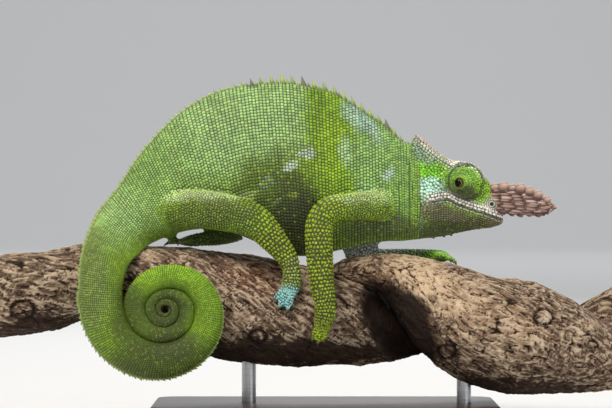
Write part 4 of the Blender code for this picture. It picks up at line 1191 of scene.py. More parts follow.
TURRET_SHADE = 0.35
# near-black painted shade in the nostril's opening
NOSTRIL_HOLE_SHADE = "#0d0b0a"
LID_TONE = "#a4bb52"
# dark painted shade in the furrow round the turret
TURRET_FURROW_SHADE = "#222b16"
FAR_MEMBERS = ("arm_left", "forearm_left", "hand_left", "thigh_left", "shank_left", "foot_left")


def linear_array(code):
    return np.array(linear(code))


def mixed(tone, code, share):
    """Colours with a share of another laid over them."""
    share = np.asarray(share)[..., None]
    return tone * (1 - share) + linear_array(code) * share


def zone_share(points, zone):
    x, z, wide, high, turn, _, strength, soft = zone
    angle = math.radians(turn)
    dx, dz = points[:, 0] - x, points[:, 2] - z
    across = (dx * math.cos(angle) + dz * math.sin(angle)) / wide
    up = (-dx * math.sin(angle) + dz * math.cos(angle)) / high
    return strength * smooth_step(1 + soft, 1 - soft, np.hypot(across, up))


def wobbled(points, size, depth):
    """The points shifted by smooth noise, so that the edges of the markings wander."""
    shift = [noise.noise_vector(Vector(p) / size) for p in points.tolist()]
    return points + depth * np.array([tuple(v) for v in shift])


def markings(points, members):
    """The animal's colour at each place, with painted shade in its furrows, mouth, nostrils and shaded parts and
    some painted light on the coil: the same rule for the skin and for every scale.
    """
    moved = wobbled(points, 6.0, 2.4)
    tone = np.tile(linear_array(BASE_GREEN), (len(points), 1))

    def lay(zones, own):
        for zone in zones:
            tone[:] = mixed(tone, zone[5], zone_share(moved, zone) * own)

    kinds = np.array([member_kind(name) for name in members])
    trunk = np.isin(kinds, ("trunk", "tail"))
    lay(ZONES, trunk)
    lay(FLANK_SPOTS, kinds == "trunk")
    lay(LIMB_ZONES, kinds == "near")
    lay(FAR_ZONES, kinds == "far")
    head = kinds == "head"
    lay(HEAD_ZONES, head)
    for line, rise, width, code, strength in HEAD_LINES:
        away = line_distance(points - [0, 0, rise], line)
        tone = mixed(tone, code, strength * np.exp(-((away / width) ** 2)) * head)
    turret = np.hypot(points[:, 0] - LID_OPENING[0], points[:, 2] - LID_OPENING[2])
    rings = 0.5 - 0.5 * np.cos(turret * TAU / TURRET_RING_PITCH)
    share = (0.45 * rings * smooth_step(7.6, 6.6, turret) * head)[:, None]
    tone = tone * (1 - share) + tone * TURRET_SHADE * share
    away = np.hypot(points[:, 0] - NOSTRIL[0], points[:, 2] - NOSTRIL[1])
    # painted shade in the nostril's opening
    tone = mixed(tone, NOSTRIL_HOLE_SHADE, smooth_step(0.95, 0.55, away) * head)
    tone = mixed(tone, LID_TONE, smooth_step(3.0, 2.4, turret) * head * 0.5)
    # painted shade in the furrow round the turret
    away = np.hypot(points[:, 0] - TURRET_CENTRE[0], points[:, 2] - TURRET_CENTRE[2]) - TURRET_RIM
    tone = mixed(tone, TURRET_FURROW_SHADE, 0.75 * np.exp(-((away / 0.6) ** 2)) * head)
    blotch = np.array([noise.noise(Vector(p) / 9.0) for p in points.tolist()])
    return tone * (1 + 0.22 * blotch[:, None])


def member_kind(name):
    if name.startswith(FAR_MEMBERS):
        return "far"
    if name in ("trunk", "head"):
        return name
    return "tail" if name == "coil" else "near"


# Geometry Nodes that repeat one small shape over the places


SHAPES = {
    "plate": {"square": 4.6, "turn": 0.0, "keel": 0.0, "rings": ((1.0, -0.55), (0.84, 0.74))},
    "bead": {"square": 2.1, "turn": 0.5, "keel": 0.0, "rings": ((1.0, -0.55), (0.78, 0.66))},
    "keel": {"square": 2.6, "turn": 0.5, "keel": 0.35, "rings": ((1.0, -0.55), (0.96, 0.12), (0.62, 0.62))},
    "scute": {"square": 3.2, "turn": 0.0, "keel": 0.0, "rings": ((1.0, -0.55), (0.95, 0.2), (0.76, 0.82))},
}
SHAPE_SIDES = 8


def scale_shape(kind):
    """One scale of unit half sizes: a skirt, a shoulder and a crown, its plan between round and square."""
    shape = SHAPES[kind]
    rings = shape["rings"]
    points = []
    for radius, height in rings:
        for k in range(SHAPE_SIDES):
            angle = TAU * (k + shape["turn"]) / SHAPE_SIDES
            x, y = math.cos(angle), math.sin(angle)
            power = shape["square"]
            reach = radius / (abs(x) ** power + abs(y) ** power) ** (1 / power)
            ridge = shape["keel"] * (1 - abs(y)) * (radius < 0.9)
            points.append((x * reach, y * reach, height + ridge))
    points.append((0, 0, 1 + shape["keel"]))
    return unit_shape(f"shape_{kind}", points, len(rings), SHAPE_SIDES)


def unit_shape(name, points, rings, sides):
    """A small shape of stacked rings that close on one last point, each point marked with its own place."""
    last = (rings - 1) * sides
    tip = [(last + k, last + (k + 1) % sides, rings * sides) for k in range(sides)]
    mesh = bpy.data.meshes.new(name)
    mesh.from_pydata(points, [], ring_faces(rings, sides) + tip)
    mark(mesh, "local", "vector", points)
    return bpy.data.objects.new(name, mesh)


def repeat_tree():
    """Repeats a shape on each point, turned and sized, and unwraps each copy at its root."""
    tree = bpy.data.node_groups.new("repeat_on_skin", "GeometryNodeTree")
    face = tree.interface
    face.new_socket("Places", in_out="INPUT", socket_type="NodeSocketGeometry")
    for name, kind, value in (
        ("Shape", "NodeSocketObject", None),
        ("Finish", "NodeSocketMaterial", None),
        ("Size", "NodeSocketFloat", 1.0),
        ("Uneven", "NodeSocketFloat", 0.08),
        ("Patch", "NodeSocketFloat", PATCH_HALF),
        ("Seed", "NodeSocketInt", SEED),
    ):
        socket = face.new_socket(name, in_out="INPUT", socket_type=kind)
        if value is not None:
            socket.default_value = value
    face.new_socket("Made", in_out="OUTPUT", socket_type="NodeSocketGeometry")
    given = tree.nodes.new("NodeGroupInput").outputs
    shape = add(tree, "GeometryNodeObjectInfo", {"transform_space": "ORIGINAL"}, Object=given["Shape"])
    vectors = [
        add(tree, "GeometryNodeInputNamedAttribute", {"data_type": "FLOAT_VECTOR"}, Name=name).outputs[0]
        for name in ("out", "ahead", "half", "local", "root")
    ]
    out, ahead, half, local, root = vectors
    axes = {"primary_axis": "Z", "secondary_axis": "X"}
    turn = add(tree, "FunctionNodeAxesToRotation", axes, Primary_Axis=out, Secondary_Axis=ahead)
    chance = add(tree, "FunctionNodeRandomValue", {"data_type": "FLOAT"}, i2=0.0, i3=1.0, Seed=given["Seed"])
    spread = calc(tree, "MULTIPLY_ADD", chance.outputs[1], 2.0, -1.0)
    spread = calc(tree, "MULTIPLY_ADD", spread, given["Uneven"], 1.0)
    scale = {"operation": "SCALE"}
    sized = add(tree, "ShaderNodeVectorMath", scale, i0=half, Scale=given["Size"]).outputs[0]
    sized = add(tree, "ShaderNodeVectorMath", scale, i0=sized, Scale=spread).outputs[0]
    kept = {"data_type": "FLOAT", "domain": "POINT"}
    links = {"Geometry": given["Places"], "Name": "chance", "Value": chance.outputs[1]}
    marked = add(tree, "GeometryNodeStoreNamedAttribute", kept, **links).outputs[0]
    links = {"Points": marked, "Instance": shape.outputs["Geometry"]}
    links.update(Rotation=turn.outputs[0], Scale=sized)
    copies = add(tree, "GeometryNodeInstanceOnPoints", **links).outputs[0]
    real = add(tree, "GeometryNodeRealizeInstances", Geometry=copies).outputs[0]
    patch = add(tree, "ShaderNodeVectorMath", scale, i0=local, Scale=given["Patch"]).outputs[0]
    flat = add(tree, "ShaderNodeVectorMath", {"operation": "ADD"}, i0=root, i1=patch).outputs[0]
    kept = {"data_type": "FLOAT2", "domain": "CORNER"}
    unwrapped = add(tree, "GeometryNodeStoreNamedAttribute", kept, Geometry=real, Name="OFBake", Value=flat)
    soft = add(tree, "GeometryNodeSetShadeSmooth", Geometry=unwrapped.outputs[0]).outputs[0]
    painted = add(tree, "GeometryNodeSetMaterial", Geometry=soft, Material=given["Finish"]).outputs[0]
    tree.links.new(painted, tree.nodes.new("NodeGroupOutput").inputs[0])
    return tree


# Half of a scale's patch on the unwrap, and the two passes of small scales: their grade and their room
PATCH_HALF = 0.0015
FILLS = ((1.0, 1.0), (0.62, 0.8))
LIMB_BEAD = 0.42


def repeated(name, tree, shape, finish, places, out, ahead, half, root, tone, **settings):
    """A piece of one shape repeated at each place, in metres, as a plain mesh."""
    mesh = bpy.data.meshes.new(name)
    mesh.from_pydata((places * MM).tolist(), [], [])
    for key, value in (("out", out), ("ahead", ahead), ("half", half * MM), ("root", root)):
        mark(mesh, key, "vector", value)
    paint(mesh, tone)
    obj = in_scene(name, mesh)
    step = obj.modifiers.new("repeat", "NODES")
    step.node_group = tree
    settings = {"Shape": shape, "Finish": finish, **settings}
    for item in tree.interface.items_tree:
        if item.in_out == "INPUT" and item.name in settings:
            step[item.identifier] = settings[item.name]
    bpy.context.view_layer.update()
    baked_down(obj)
    for key in ("out", "ahead", "half", "root"):
        if key in obj.data.attributes:
            obj.data.attributes.remove(obj.data.attributes[key])
    return obj


# Each piece of the coat: its members, its side or 0 for both, and its share of the members' length
COAT_PIECES = {
    "scales_rear_right": ("trunk", -1, 0.0, 0.5),
    "scales_rear_left": ("trunk", 1, 0.0, 0.5),
    "scales_front_right": ("trunk", -1, 0.5, 2.0),
    "scales_front_left": ("trunk", 1, 0.5, 2.0),
    "scales_tail_root": ("coil", 0, 0.0, 0.25),
    "scales_coil_right": ("coil", -1, 0.25, 2.0),
    "scales_coil_left": ("coil", 1, 0.25, 2.0),
    "scales_head_right": ("head", -1, -1.0, 2.0),
    "scales_head_left": ("head", 1, -1.0, 2.0),
    "scales_limbs_right": ("arm_right leg_right hand_right foot_right", 0, 0.0, 2.0),
    "scales_limbs_left": ("arm_left forearm_left thigh_left shank_left hand_left foot_left", 0, 0.0, 2.0),
}
COIL_MIDDLE = -25.0


def make_coat(skin, group, shapes, finish):
    """Every scale, in pieces by part of the body."""
    surface = Surface(skin.data)
    surface.body_count = len(surface.points) - COIL_SIDES * len(tail_rows()[1])
    coat = Coat(surface)
    members = member_rings(0.0)
    root, coil = tail_rows()
    members.pop("tail")
    members["coil"] = deep_rings([*root, *coil], 44, 0.0)
    lay_head(coat)
    lay_rows(coat, members)
    owners, samples = [], []
    for member, rings in members.items():
        found = row_points(member, rings)
        samples += found[::2, :3].tolist()
        owners += [(member, s, t) for s, t in found[::2, 8:10]]
    head = head_samples(surface)
    samples += head.tolist()
    owners += [("head", s, t) for s, t in head_shares(head)]
    tree = near_tree(samples)
    for grade, room in FILLS:
        lay_fill(coat, tree, owners, grade, room)
    laid = coat.all()
    tone = markings(laid["place"], laid["member"])
    limb = np.array([member_kind(name) == "near" for name in laid["member"]])
    small = laid["half"][:, 0] < LIMB_BEAD
    cyan = (laid["place"][:, 2] < 57.0) & (laid["place"][:, 0] < -1.0)
    thigh = limb & (laid["place"][:, 0] < -20.0)
    root = limb & (laid["shares"][:, 0] < 0.3)
    for own, code, share in (
        (limb & ~small & ~cyan & ~thigh & ~root, "#b7cb3e", 0.4),
        ((thigh | root) & ~small, "#a9bf4e", 0.15),
        (limb & small & ~cyan & ~root, "#333f22", 0.5),
        (limb & small & cyan, "#3c5558", 0.35),
    ):
        tone[own] = mixed(tone[own], code, share)
    near = [owners[tree.find(place)[1]][0] for place in surface.points]
    paint(skin.data, markings(surface.points, np.array(near)))
    bases = np.array([name.rstrip("_0123456789") for name in laid["member"]])
    made = []
    for name, (owned, side, low, high) in COAT_PIECES.items():
        own = np.isin(bases, owned.split()) & (laid["shares"][:, 0] >= low) & (laid["shares"][:, 0] < high)
        if side:
            own &= (laid["place"][:, 1] - (COIL_MIDDLE if owned == "coil" else 0.0)) * side > 0
        parts = []
        roots = unwrapped_roots(laid, own)
        for number, kind in enumerate(KINDS):
            some = own & (laid["kind"] == number)
            if not some.any():
                continue
            picks = [laid[key][some] for key in ("place", "normal", "ahead", "half")]
            parts.append(
                repeated(f"{name}_{kind}", group, shapes[kind], finish, *picks, roots[some], tone[some])
            )
        made.append(joined_pieces(name, parts))
    return made


def head_samples(surface):
    x, y, z = surface.points.T
    return surface.points[(x > 45.6) & (z > 75.0) & (np.arange(len(x)) % 5 == 0)]


def unwrapped_roots(laid, own):
    """Where each scale's root is on its piece's unwrap, with one strip for each member."""
    roots = np.zeros((len(own), 3))
    names = sorted(set(laid["member"][own]))
    weights = np.array([float((laid["member"][own] == name).sum()) ** 0.7 for name in names])
    edges = np.concatenate([[0], np.cumsum(weights / weights.sum())])
    for name, low, high in zip(names, edges, edges[1:]):
        some = own & (laid["member"] == name)
        along, round_ = laid["shares"][some].T
        along = (along - along.min()) / max(np.ptp(along), 1e-6)
        round_ = (round_ - round_.min()) / max(np.ptp(round_), 1e-6)
        roots[some, 0] = 0.004 + 0.992 * along
        roots[some, 1] = low + (high - low) * (0.03 + 0.94 * round_)
    roots[:, 1] = 0.004 + 0.992 * roots[:, 1]
    return roots


def joined_pieces(name, parts):
    """Joins finished pieces, with their attributes and their unwraps."""
    for obj in bpy.context.view_layer.objects:
        obj.select_set(obj in parts)
    bpy.context.view_layer.objects.active = parts[0]
    if len(parts) > 1:
        bpy.ops.object.join()
    parts[0].name = parts[0].data.name = name
    return parts[0]



# Crest, claws, eyes and horns

SPINE_BANDS = (
    # from this far behind the nape in mm: height, spacing
    (0.0, 1.6, 2.9), (9.0, 3.7, 4.3), (66.0, 4.0, 4.6), (78.0, 2.4, 3.0), (92.0, 2.1, 2.7),
    (170.0, 1.9, 2.5), (250.0, 1.8, 2.4), (285.0, 1.3, 2.3), (325.0, 0.5, 2.1),
)
SPINE_SMALL = 0.5
SPINE_TONES = ("#86a83e", "#98b84a", "#7a9f36")
SPINE_DARK = "#57504a"
SPINE_TAIL_FROM = 120.0
SPINE_TAIL_TONE = "#7f9c40"
SPINE_DARK_AT = ((-23.4, 2.6), (0.0, 1.4), (14.0, 1.0), (35.0, 1.2))
CLAW_LENGTH = 2.3
CLAW_FROM = 0.7
CLAW_RADIUS = 0.62
LID_MAJOR = 2.35
LID_TUBE = 1.0
LID_OUT = 0.1
EYE_RADIUS = 1.88
EYE_PLACE = (63.9, 10.9, 100.0)


def tapered_shape(name, sides, rings, bend):
    """A unit spine that thins to its tip and leans towards its rear by `bend` of its height."""
    angles = [TAU * k / sides for k in range(sides)]
    points = [
        (math.cos(angle) * radius - bend * max(height, 0) ** LEAN_POWER, math.sin(angle) * radius, height)
        for height, radius in rings
        for angle in angles
    ]
    tip = rings[-1][0] + 0.08
    points.append((-bend * tip**LEAN_POWER, 0, tip))
    return unit_shape(name, points, len(rings), sides)


LEAN_POWER = 1.7
SPINE_RINGS = ((-0.3, 1.15), (0.0, 1.05), (0.25, 0.8), (0.55, 0.48), (0.82, 0.22), (0.95, 0.09))
CLAW_RINGS = ((-0.25, 0.9), (0.0, 1.05), (0.3, 0.85), (0.6, 0.56), (0.85, 0.26), (0.96, 0.1))


def crest_line():
    """The line that carries the crest, from the nape back and down the tail's outer edge, with its way up."""
    rings = deep_rings(flow(TRUNK[:-1], FINE_STEPS), TRUNK_SIDES, TRUNK_BELLY, -0.1)[::-1]
    root, coil = tail_rows()
    behind = deep_rings([*root[1:], *coil[: 3 * QUARTER_STEPS]], TAIL_SIDES, 0.0, -0.1)
    tops = np.vstack([rings[:, 0], behind[:, 0]])
    opposite = rings[:, 0] - rings[:, TRUNK_SIDES // 2], behind[:, 0] - behind[:, TAIL_SIDES // 2]
    ups = unit(np.vstack(opposite))
    return tops, ups


def make_crest(tree, finish):
    tops, ups = crest_line()
    reach = lengths_along(tops)
    draw = np.random.default_rng(SEED)
    bands = np.array(SPINE_BANDS)
    places, out, ahead, half, tone = [], [], [], [], []
    run, turn = 0.8, 0
    while run < min(reach[-1], bands[-1, 0]):
        high, spacing = along(run, bands[:, 0], bands[:, 1:])
        small = turn % 2
        height = high * (SPINE_SMALL if small else 1.0) * draw.uniform(0.88, 1.1)
        place = along(run, reach, tops)
        after = along(run + 0.5, reach, tops)
        up = unit(along(run, reach, ups))
        back = unit(after - place)
        lean = 0.1 if place[0] > CREST_FRONT_FROM else 0.45
        up = unit(up + back * lean + [0, draw.uniform(-0.06, 0.06), 0])
        tail = smooth_step(SPINE_TAIL_FROM, SPINE_TAIL_FROM + 40, run)
        wide = height * (0.2 + 0.3 * tail) + 0.34
        if small:
            height *= 1 + 0.5 * tail
        places.append(place - up * 0.25)
        out.append(up)
        ahead.append(-back)
        half.append((wide, wide * 0.8, height))
        code = SPINE_TONES[turn % 3]
        dark = any(abs(place[0] - x) < near for x, near in SPINE_DARK_AT)
        fresh = linear_array(SPINE_DARK if dark else code)
        tone.append(fresh * (1 - tail) + linear_array(SPINE_TAIL_TONE) * tail)
        run += spacing * 0.5 * draw.uniform(0.92, 1.08)
        turn += 1
    shape = tapered_shape("shape_spine", 10, SPINE_RINGS, 0.35)
    places, out, ahead, half, tone = map(np.array, (places, out, ahead, half, tone))
    share = np.arange(len(places)) / len(places)
    root = np.column_stack([0.01 + 0.98 * share, np.full(len(share), 0.5), np.zeros(len(share))])
    return repeated("dorsal_spines", tree, shape, finish, places, out, ahead, half, root, tone, Uneven=0.05)


def strip_roots(count, low, high, across):
    """The roots of a row of shapes, on a strip of the unwrap from low to high."""
    return np.column_stack([np.linspace(low, high, count), np.full(count, across), np.zeros(count)])


def make_claws(tree, finish):
    places, out, ahead, half = [], [], [], []
    for name, lines in DIGITS.items():
        for line in lines:
            end, joint = np.array(line[-1]), np.array(line[-2])
            onward = unit(end - joint)
            places.append(joint + onward * CLAW_FROM)
            down = np.array([0.0, 0.5 if "right" in name else -0.5, -0.6])
            out.append(unit(onward + 0.25 * down))
            ahead.append(-down)
            half.append((CLAW_RADIUS, CLAW_RADIUS * 0.8, CLAW_LENGTH))
    shape = tapered_shape("shape_claw", 12, CLAW_RINGS, 0.9)
    places, out, ahead, half = map(np.array, (places, out, ahead, half))
    tone = np.tile(linear_array("#3b332d"), (len(places), 1))
    root = strip_roots(len(places), 0.05, 0.95, 0.5)
    return repeated("claws", tree, shape, finish, places, out, ahead, half, root, tone, Uneven=0.03)


def lid_ring(side):
    """The thick round lid in front of the eye, as a ring that the skin is made over."""
    _, middle, axis, first, second = turret_axes(side)
    points, faces = [], []
    around, tube = 36, 14
    for i in range(around):
        spoke = first * math.cos(TAU * i / around) + second * math.sin(TAU * i / around)
        for k in range(tube):
            angle = TAU * k / tube
            aside, out = LID_TUBE * math.cos(angle), LID_TUBE * math.sin(angle)
            points.append(middle + axis * (LID_OUT + out) + spoke * (LID_MAJOR + aside))
            near, far, after = i * tube, (i + 1) % around * tube, (k + 1) % tube
            faces.append((near + k, far + k, far + after, near + after))
    ring = mesh_object("lid", points, faces)
    outward(ring.data)
    return ring


def make_eyes(finish):
    """Both eyeballs, each point marked with its distance from the line of sight."""
    made = []
    for name, side in (("right", -1), ("left", 1)):
        mesh = bpy.data.meshes.new(f"eyeball_{name}")
        bm = bmesh.new()
        bmesh.ops.create_uvsphere(bm, u_segments=48, v_segments=32, radius=EYE_RADIUS)
        bm.to_mesh(mesh)
        bm.free()
        points = points_of(mesh) * MM
        out, aside, up = np.subtract(LID_OPENING, TURRET_CENTRE)
        sight = unit(np.array([out, side * aside, up]))
        front = points @ sight > 0
        rim = np.linalg.norm(points - np.outer(points @ sight, sight), axis=1)
        mark(mesh, "rim", "value", np.where(front, rim, 9.0))
        set_points(mesh, points + [EYE_PLACE[0], side * EYE_PLACE[1], EYE_PLACE[2]])
        mesh.shade_smooth()
        mesh.materials.append(finish)
        obj = in_scene(f"eyeball_{name}", mesh)
        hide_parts(f"eye_{name}")
        made.append(obj)
    return made


# Horns: x, upper edge z, lower edge z, sideways place, half thickness
HORN = [
    (73.5, 96.5, 89.5, 3.0, 1.5), (77.5, 97.6, 88.2, 3.3, 2.0), (81.5, 97.8, 87.2, 3.6, 2.1),
    (86.0, 97.6, 86.4, 3.9, 2.0), (90.5, 97.0, 86.2, 4.2, 1.9), (94.5, 95.6, 86.2, 4.5, 1.7),
    (98.5, 93.6, 86.4, 4.7, 1.5), (102.0, 91.8, 87.4, 4.9, 1.1), (105.0, 89.8, 89.0, 5.0, 0.5),
]
FAR_HORN_RISE = 0.9
HORN_SCALES_FROM = 77.5
HORN_TIP = 104.6
HORN_END = (102.6, 4.9, 89.6)
HORN_TOP = ((78.6, 2.2), (82.2, 2.9), (86.0, 2.2), (89.4, 3.0), (93.2, 2.3), (96.8, 2.8), (100.6, 2.1))
# The rows of scales on a horn's side: their height as a share of the blade's, and their pitch
HORN_ROW_HEIGHTS = (0.78, 0.54, 0.3, 0.06, -0.18, -0.42, -0.66, -0.86)
HORN_ROW_PITCHES = (3.6, 4.8, 5.4, 5.8, 5.4, 5.0, 4.4, 3.4)
STEP_RINGS = ((-0.4, 1.1), (0.0, 1.08), (0.35, 0.92), (0.7, 0.66), (0.9, 0.4))
# Tones of the side scales in turn: the pale pink ones are partly painted highlight on the ridges
HORN_TONES = "#7d5b53 #694641 #b79d96 #573832 #c9b4ad #70504a #4a2f2a #8e6b61 #7c5a52".split()
HORN_TOP_TONE = "#e2bda6"
HORN_LOW_TONE = "#84625a"


def horn_rows(side):
    rise = FAR_HORN_RISE if side > 0 else 0.0
    return [
        (x, side * y, (top + low) / 2 + rise, (top - low) / 2 - 0.35, half - 0.2)
        for x, top, low, y, half in flow([list(row) for row in HORN], 6)
    ]


def make_horns(tree, core_finish, scale_finish, shapes):
    """Each horn's blade, its long ridged side scales in rows, and the stepped tubercles on its edges."""
    made = []
    draw = np.random.default_rng(SEED + 1)
    step = tapered_shape("shape_step", 8, STEP_RINGS, -0.55)
    for name, side in (("right", -1), ("left", 1)):
        rows = horn_rows(side)
        rings = path_rings(rows, 32, 0.0)
        core = loft(f"horn_core_{name}", rings)
        core.data.shade_smooth()
        core.data.materials.append(core_finish)
        surface = Surface(core.data)
        table = np.array(rows)
        starts = []
        for height, pitch in zip(HORN_ROW_HEIGHTS, HORN_ROW_PITCHES):
            for face in (-1, 1):
                x = HORN_SCALES_FROM + draw.uniform(0, 1.5)
                while x < HORN_TIP - 1.6:
                    y, z, high = (np.interp(x, table[:, 0], table[:, k]) for k in (1, 2, 3))
                    shift = draw.uniform(-0.35, 0.35)
                    starts.append((x, y + face * 6, z + height * high + shift, -face))
                    x += pitch * draw.uniform(0.85, 1.1) * (0.75 if x > 98 else 1.0)
        places, out, ahead, half, tone = [], [], [], [], []
        for x, y, z, toward in starts:
            hit, flat = surface.tree.ray_cast(Vector((x, y, z)), Vector((0, toward, 0)))[:2]
            if hit is None:
                continue
            places.append(np.array(hit) - np.array(flat) * 0.15)
            out.append(np.array(flat) + [-0.12, 0, 0])
            ahead.append((1, 0, -0.08))
            long = min(draw.uniform(2.6, 4.6), max(0.8, (HORN_TIP - x) * 0.5))
            half.append((long, draw.uniform(0.62, 1.0), draw.uniform(0.26, 0.5)))
            tone.append(linear(HORN_TONES[len(tone) % len(HORN_TONES)]))
        root = strip_roots(len(places), 0.02, 0.98, 0.3)
        arrays = [np.array(v) for v in (places, out, ahead, half)]
        long_ = repeated(
            f"long_{name}", tree, shapes["keel"], scale_finish, *arrays, root, np.array(tone), Uneven=0.16
        )
        places, out, ahead, half, tone = [], [], [], [], []
        for edge in (1, -1):
            for x, size in HORN_TOP:
                y, z, high = (np.interp(x, table[:, 0], table[:, k]) for k in (1, 2, 3))
                big = size if edge > 0 else size * 0.55
                places.append((x, y, z + edge * (high - 0.35)))
                out.append((0.3, 0, edge))
                ahead.append((1, 0, 0))
                half.append((big * 0.8, big * 0.62, big * 1.05))
                tone.append(linear(HORN_TOP_TONE if edge > 0 else HORN_LOW_TONE))
        x, y, z = HORN_END
        places.append((x, side * y, z + (FAR_HORN_RISE if side > 0 else 0)))
        out.append((1.0, 0, -0.12))
        ahead.append((0, 0, 1))
        half.append((1.15, 0.8, 2.2))
        tone.append(linear(HORN_TOP_TONE))
        root = strip_roots(len(places), 0.02, 0.98, 0.7)
        arrays = [np.array(v, float) for v in (places, out, ahead, half)]
        steps = repeated(f"steps_{name}", tree, step, scale_finish, *arrays, root, np.array(tone), Uneven=0.1)
        scales = joined_pieces(f"horn_scales_{name}", [long_, steps])
        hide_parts(f"horn_{name}")
        for obj in (core, scales):
            made.append(obj)
    return made


def eye_material():
    """Glossy eye: a black pupil, a thin gold iris and a dark edge under the lid."""
    made, tree, shader = material("chameleon_eye")
    rim = add(tree, "ShaderNodeAttribute", {"attribute_name": "rim"}).outputs["Fac"]
    share = calc(tree, "DIVIDE", rim, EYE_RADIUS)
    stops = [(0.0, "#020202"), (0.76, "#030303"), (0.8, "#8f7a34"), (0.84, "#b9a650")]
    stops += [(0.9, "#3a3018"), (1.0, "#14110a")]
    tree.links.new(ramp(tree, share, stops), shader.inputs["Base Color"])
    set_inputs(shader, Roughness=0.06, Specular_IOR_Level=0.15)
    return made


def claw_material():
    """Dark translucent claw: brown at its root, near black at its tip, lightly scratched."""
    made, tree, shader = material("chameleon_claw")
    local = add(tree, "ShaderNodeAttribute", {"attribute_name": "local"}).outputs["Vector"]
    high = add(tree, "ShaderNodeSeparateXYZ", Vector=local).outputs["Z"]
    colour = ramp(tree, high, [(0.0, "#6b5e4c"), (0.45, "#3a322b"), (1.0, "#171413")])
    tree.links.new(colour, shader.inputs["Base Color"])
    set_inputs(shader, Roughness=0.32)
    bump = add(tree, "ShaderNodeBump", Height=grain(tree, 0.3, 3.0, (1, 1, 4)), Strength=0.3, Distance=0.05 * MM).outputs[0]
    tree.links.new(bump, shader.inputs["Normal"])
    return made


def spine_material():
    """Soft pointed crest scales: lit yellow-green, with painted shade darkening their foot."""
    made, tree, shader = material("chameleon_spine")
    tone = add(tree, "ShaderNodeAttribute", {"attribute_name": "tone"}).outputs["Color"]
    local = add(tree, "ShaderNodeAttribute", {"attribute_name": "local"}).outputs["Vector"]
    high = add(tree, "ShaderNodeSeparateXYZ", Vector=local).outputs["Z"]
    foot = add(tree, "ShaderNodeMapRange", Value=high, From_Min=-0.1, From_Max=0.45).outputs[0]
    # painted shade at each spine's foot
    colour = blend(tree, calc(tree, "SUBTRACT", 1.0, foot), tone, "#3c4a1a")
    speck = grain(tree, 0.3, 3.0)
    colour = blend(tree, calc(tree, "MULTIPLY", speck, 0.25), colour, "#dfe3a8")
    tree.links.new(colour, shader.inputs["Base Color"])
    set_inputs(shader, Roughness=0.5, Subsurface_Weight=0.1, Subsurface_Scale=0.6 * MM)
    bump = add(tree, "ShaderNodeBump", Height=speck, Strength=0.4, Distance=0.08 * MM).outputs[0]
    tree.links.new(bump, shader.inputs["Normal"])
    return made


def horn_material(name, furrow):
    """Dry scaly horn: mauve-brown with a pale painted highlight on each scale's crown, painted shade darkening
    each scale towards its foot, dark between the scales, lengthwise fibres.
    """
    made, tree, shader = material(name)
    fibre = grain(tree, 0.35, 4.0, (6, 1, 1))
    if furrow:
        colour = blend(tree, fibre, "#553b36", "#7d5d55")
    else:
        tone = add(tree, "ShaderNodeAttribute", {"attribute_name": "tone"}).outputs["Color"]
        local = add(tree, "ShaderNodeAttribute", {"attribute_name": "local"}).outputs["Vector"]
        high = add(tree, "ShaderNodeSeparateXYZ", Vector=local).outputs["Z"]
        crown = add(tree, "ShaderNodeMapRange", Value=high, From_Min=-0.1, From_Max=1.1).outputs[0]
        # painted shade towards each scale's foot
        colour = blend(tree, calc(tree, "SUBTRACT", 1.0, crown), tone, "#4c322d")
        # painted highlight on each scale's crown
        colour = blend(tree, calc(tree, "MULTIPLY", calc(tree, "POWER", crown, 3.0), 0.4), colour, "#e0c4ae")
        colour = blend(tree, calc(tree, "MULTIPLY", fibre, 0.35), colour, "#4c302c")
    tree.links.new(colour, shader.inputs["Base Color"])
    set_inputs(shader, Roughness=0.6)
    bump = add(tree, "ShaderNodeBump", Height=fibre, Strength=0.6, Distance=0.12 * MM).outputs[0]
    tree.links.new(bump, shader.inputs["Normal"])
    return made


# Branch and stand

STEM_AXES = {
    # x, y, z, mean radius
    "perch_stem_a": [
        (-135.0, 4.0, 50.8, 17.7), (-94.9, 4.0, 58.4, 16.0), (-67.6, 4.0, 55.2, 18.3),
        (-27.7, 2.5, 47.0, 23.0), (12.2, 3.0, 43.3, 20.0), (50.0, 18.0, 40.6, 13.4),
        (81.5, 30.0, 35.0, 12.0), (112.0, 25.0, 31.6, 12.8), (135.0, 12.0, 43.0, 13.9),
    ],
    "perch_stem_b": [
        (8.0, -1.0, 62.0, 3.0), (29.0, -3.0, 63.4, 7.3), (47.9, -5.0, 54.0, 15.8),
        (64.7, -6.5, 42.8, 21.9), (89.9, -7.0, 34.9, 24.0), (115.1, -7.0, 28.3, 17.2),
        (135.0, -7.0, 24.6, 10.4),
    ],
}
BARK_VOXEL = 0.6
BARK_SMOOTH = 6
BARK_DEPTH = 1.5
BARK_TURNS = {"perch_stem_a": -0.027, "perch_stem_b": -0.006}
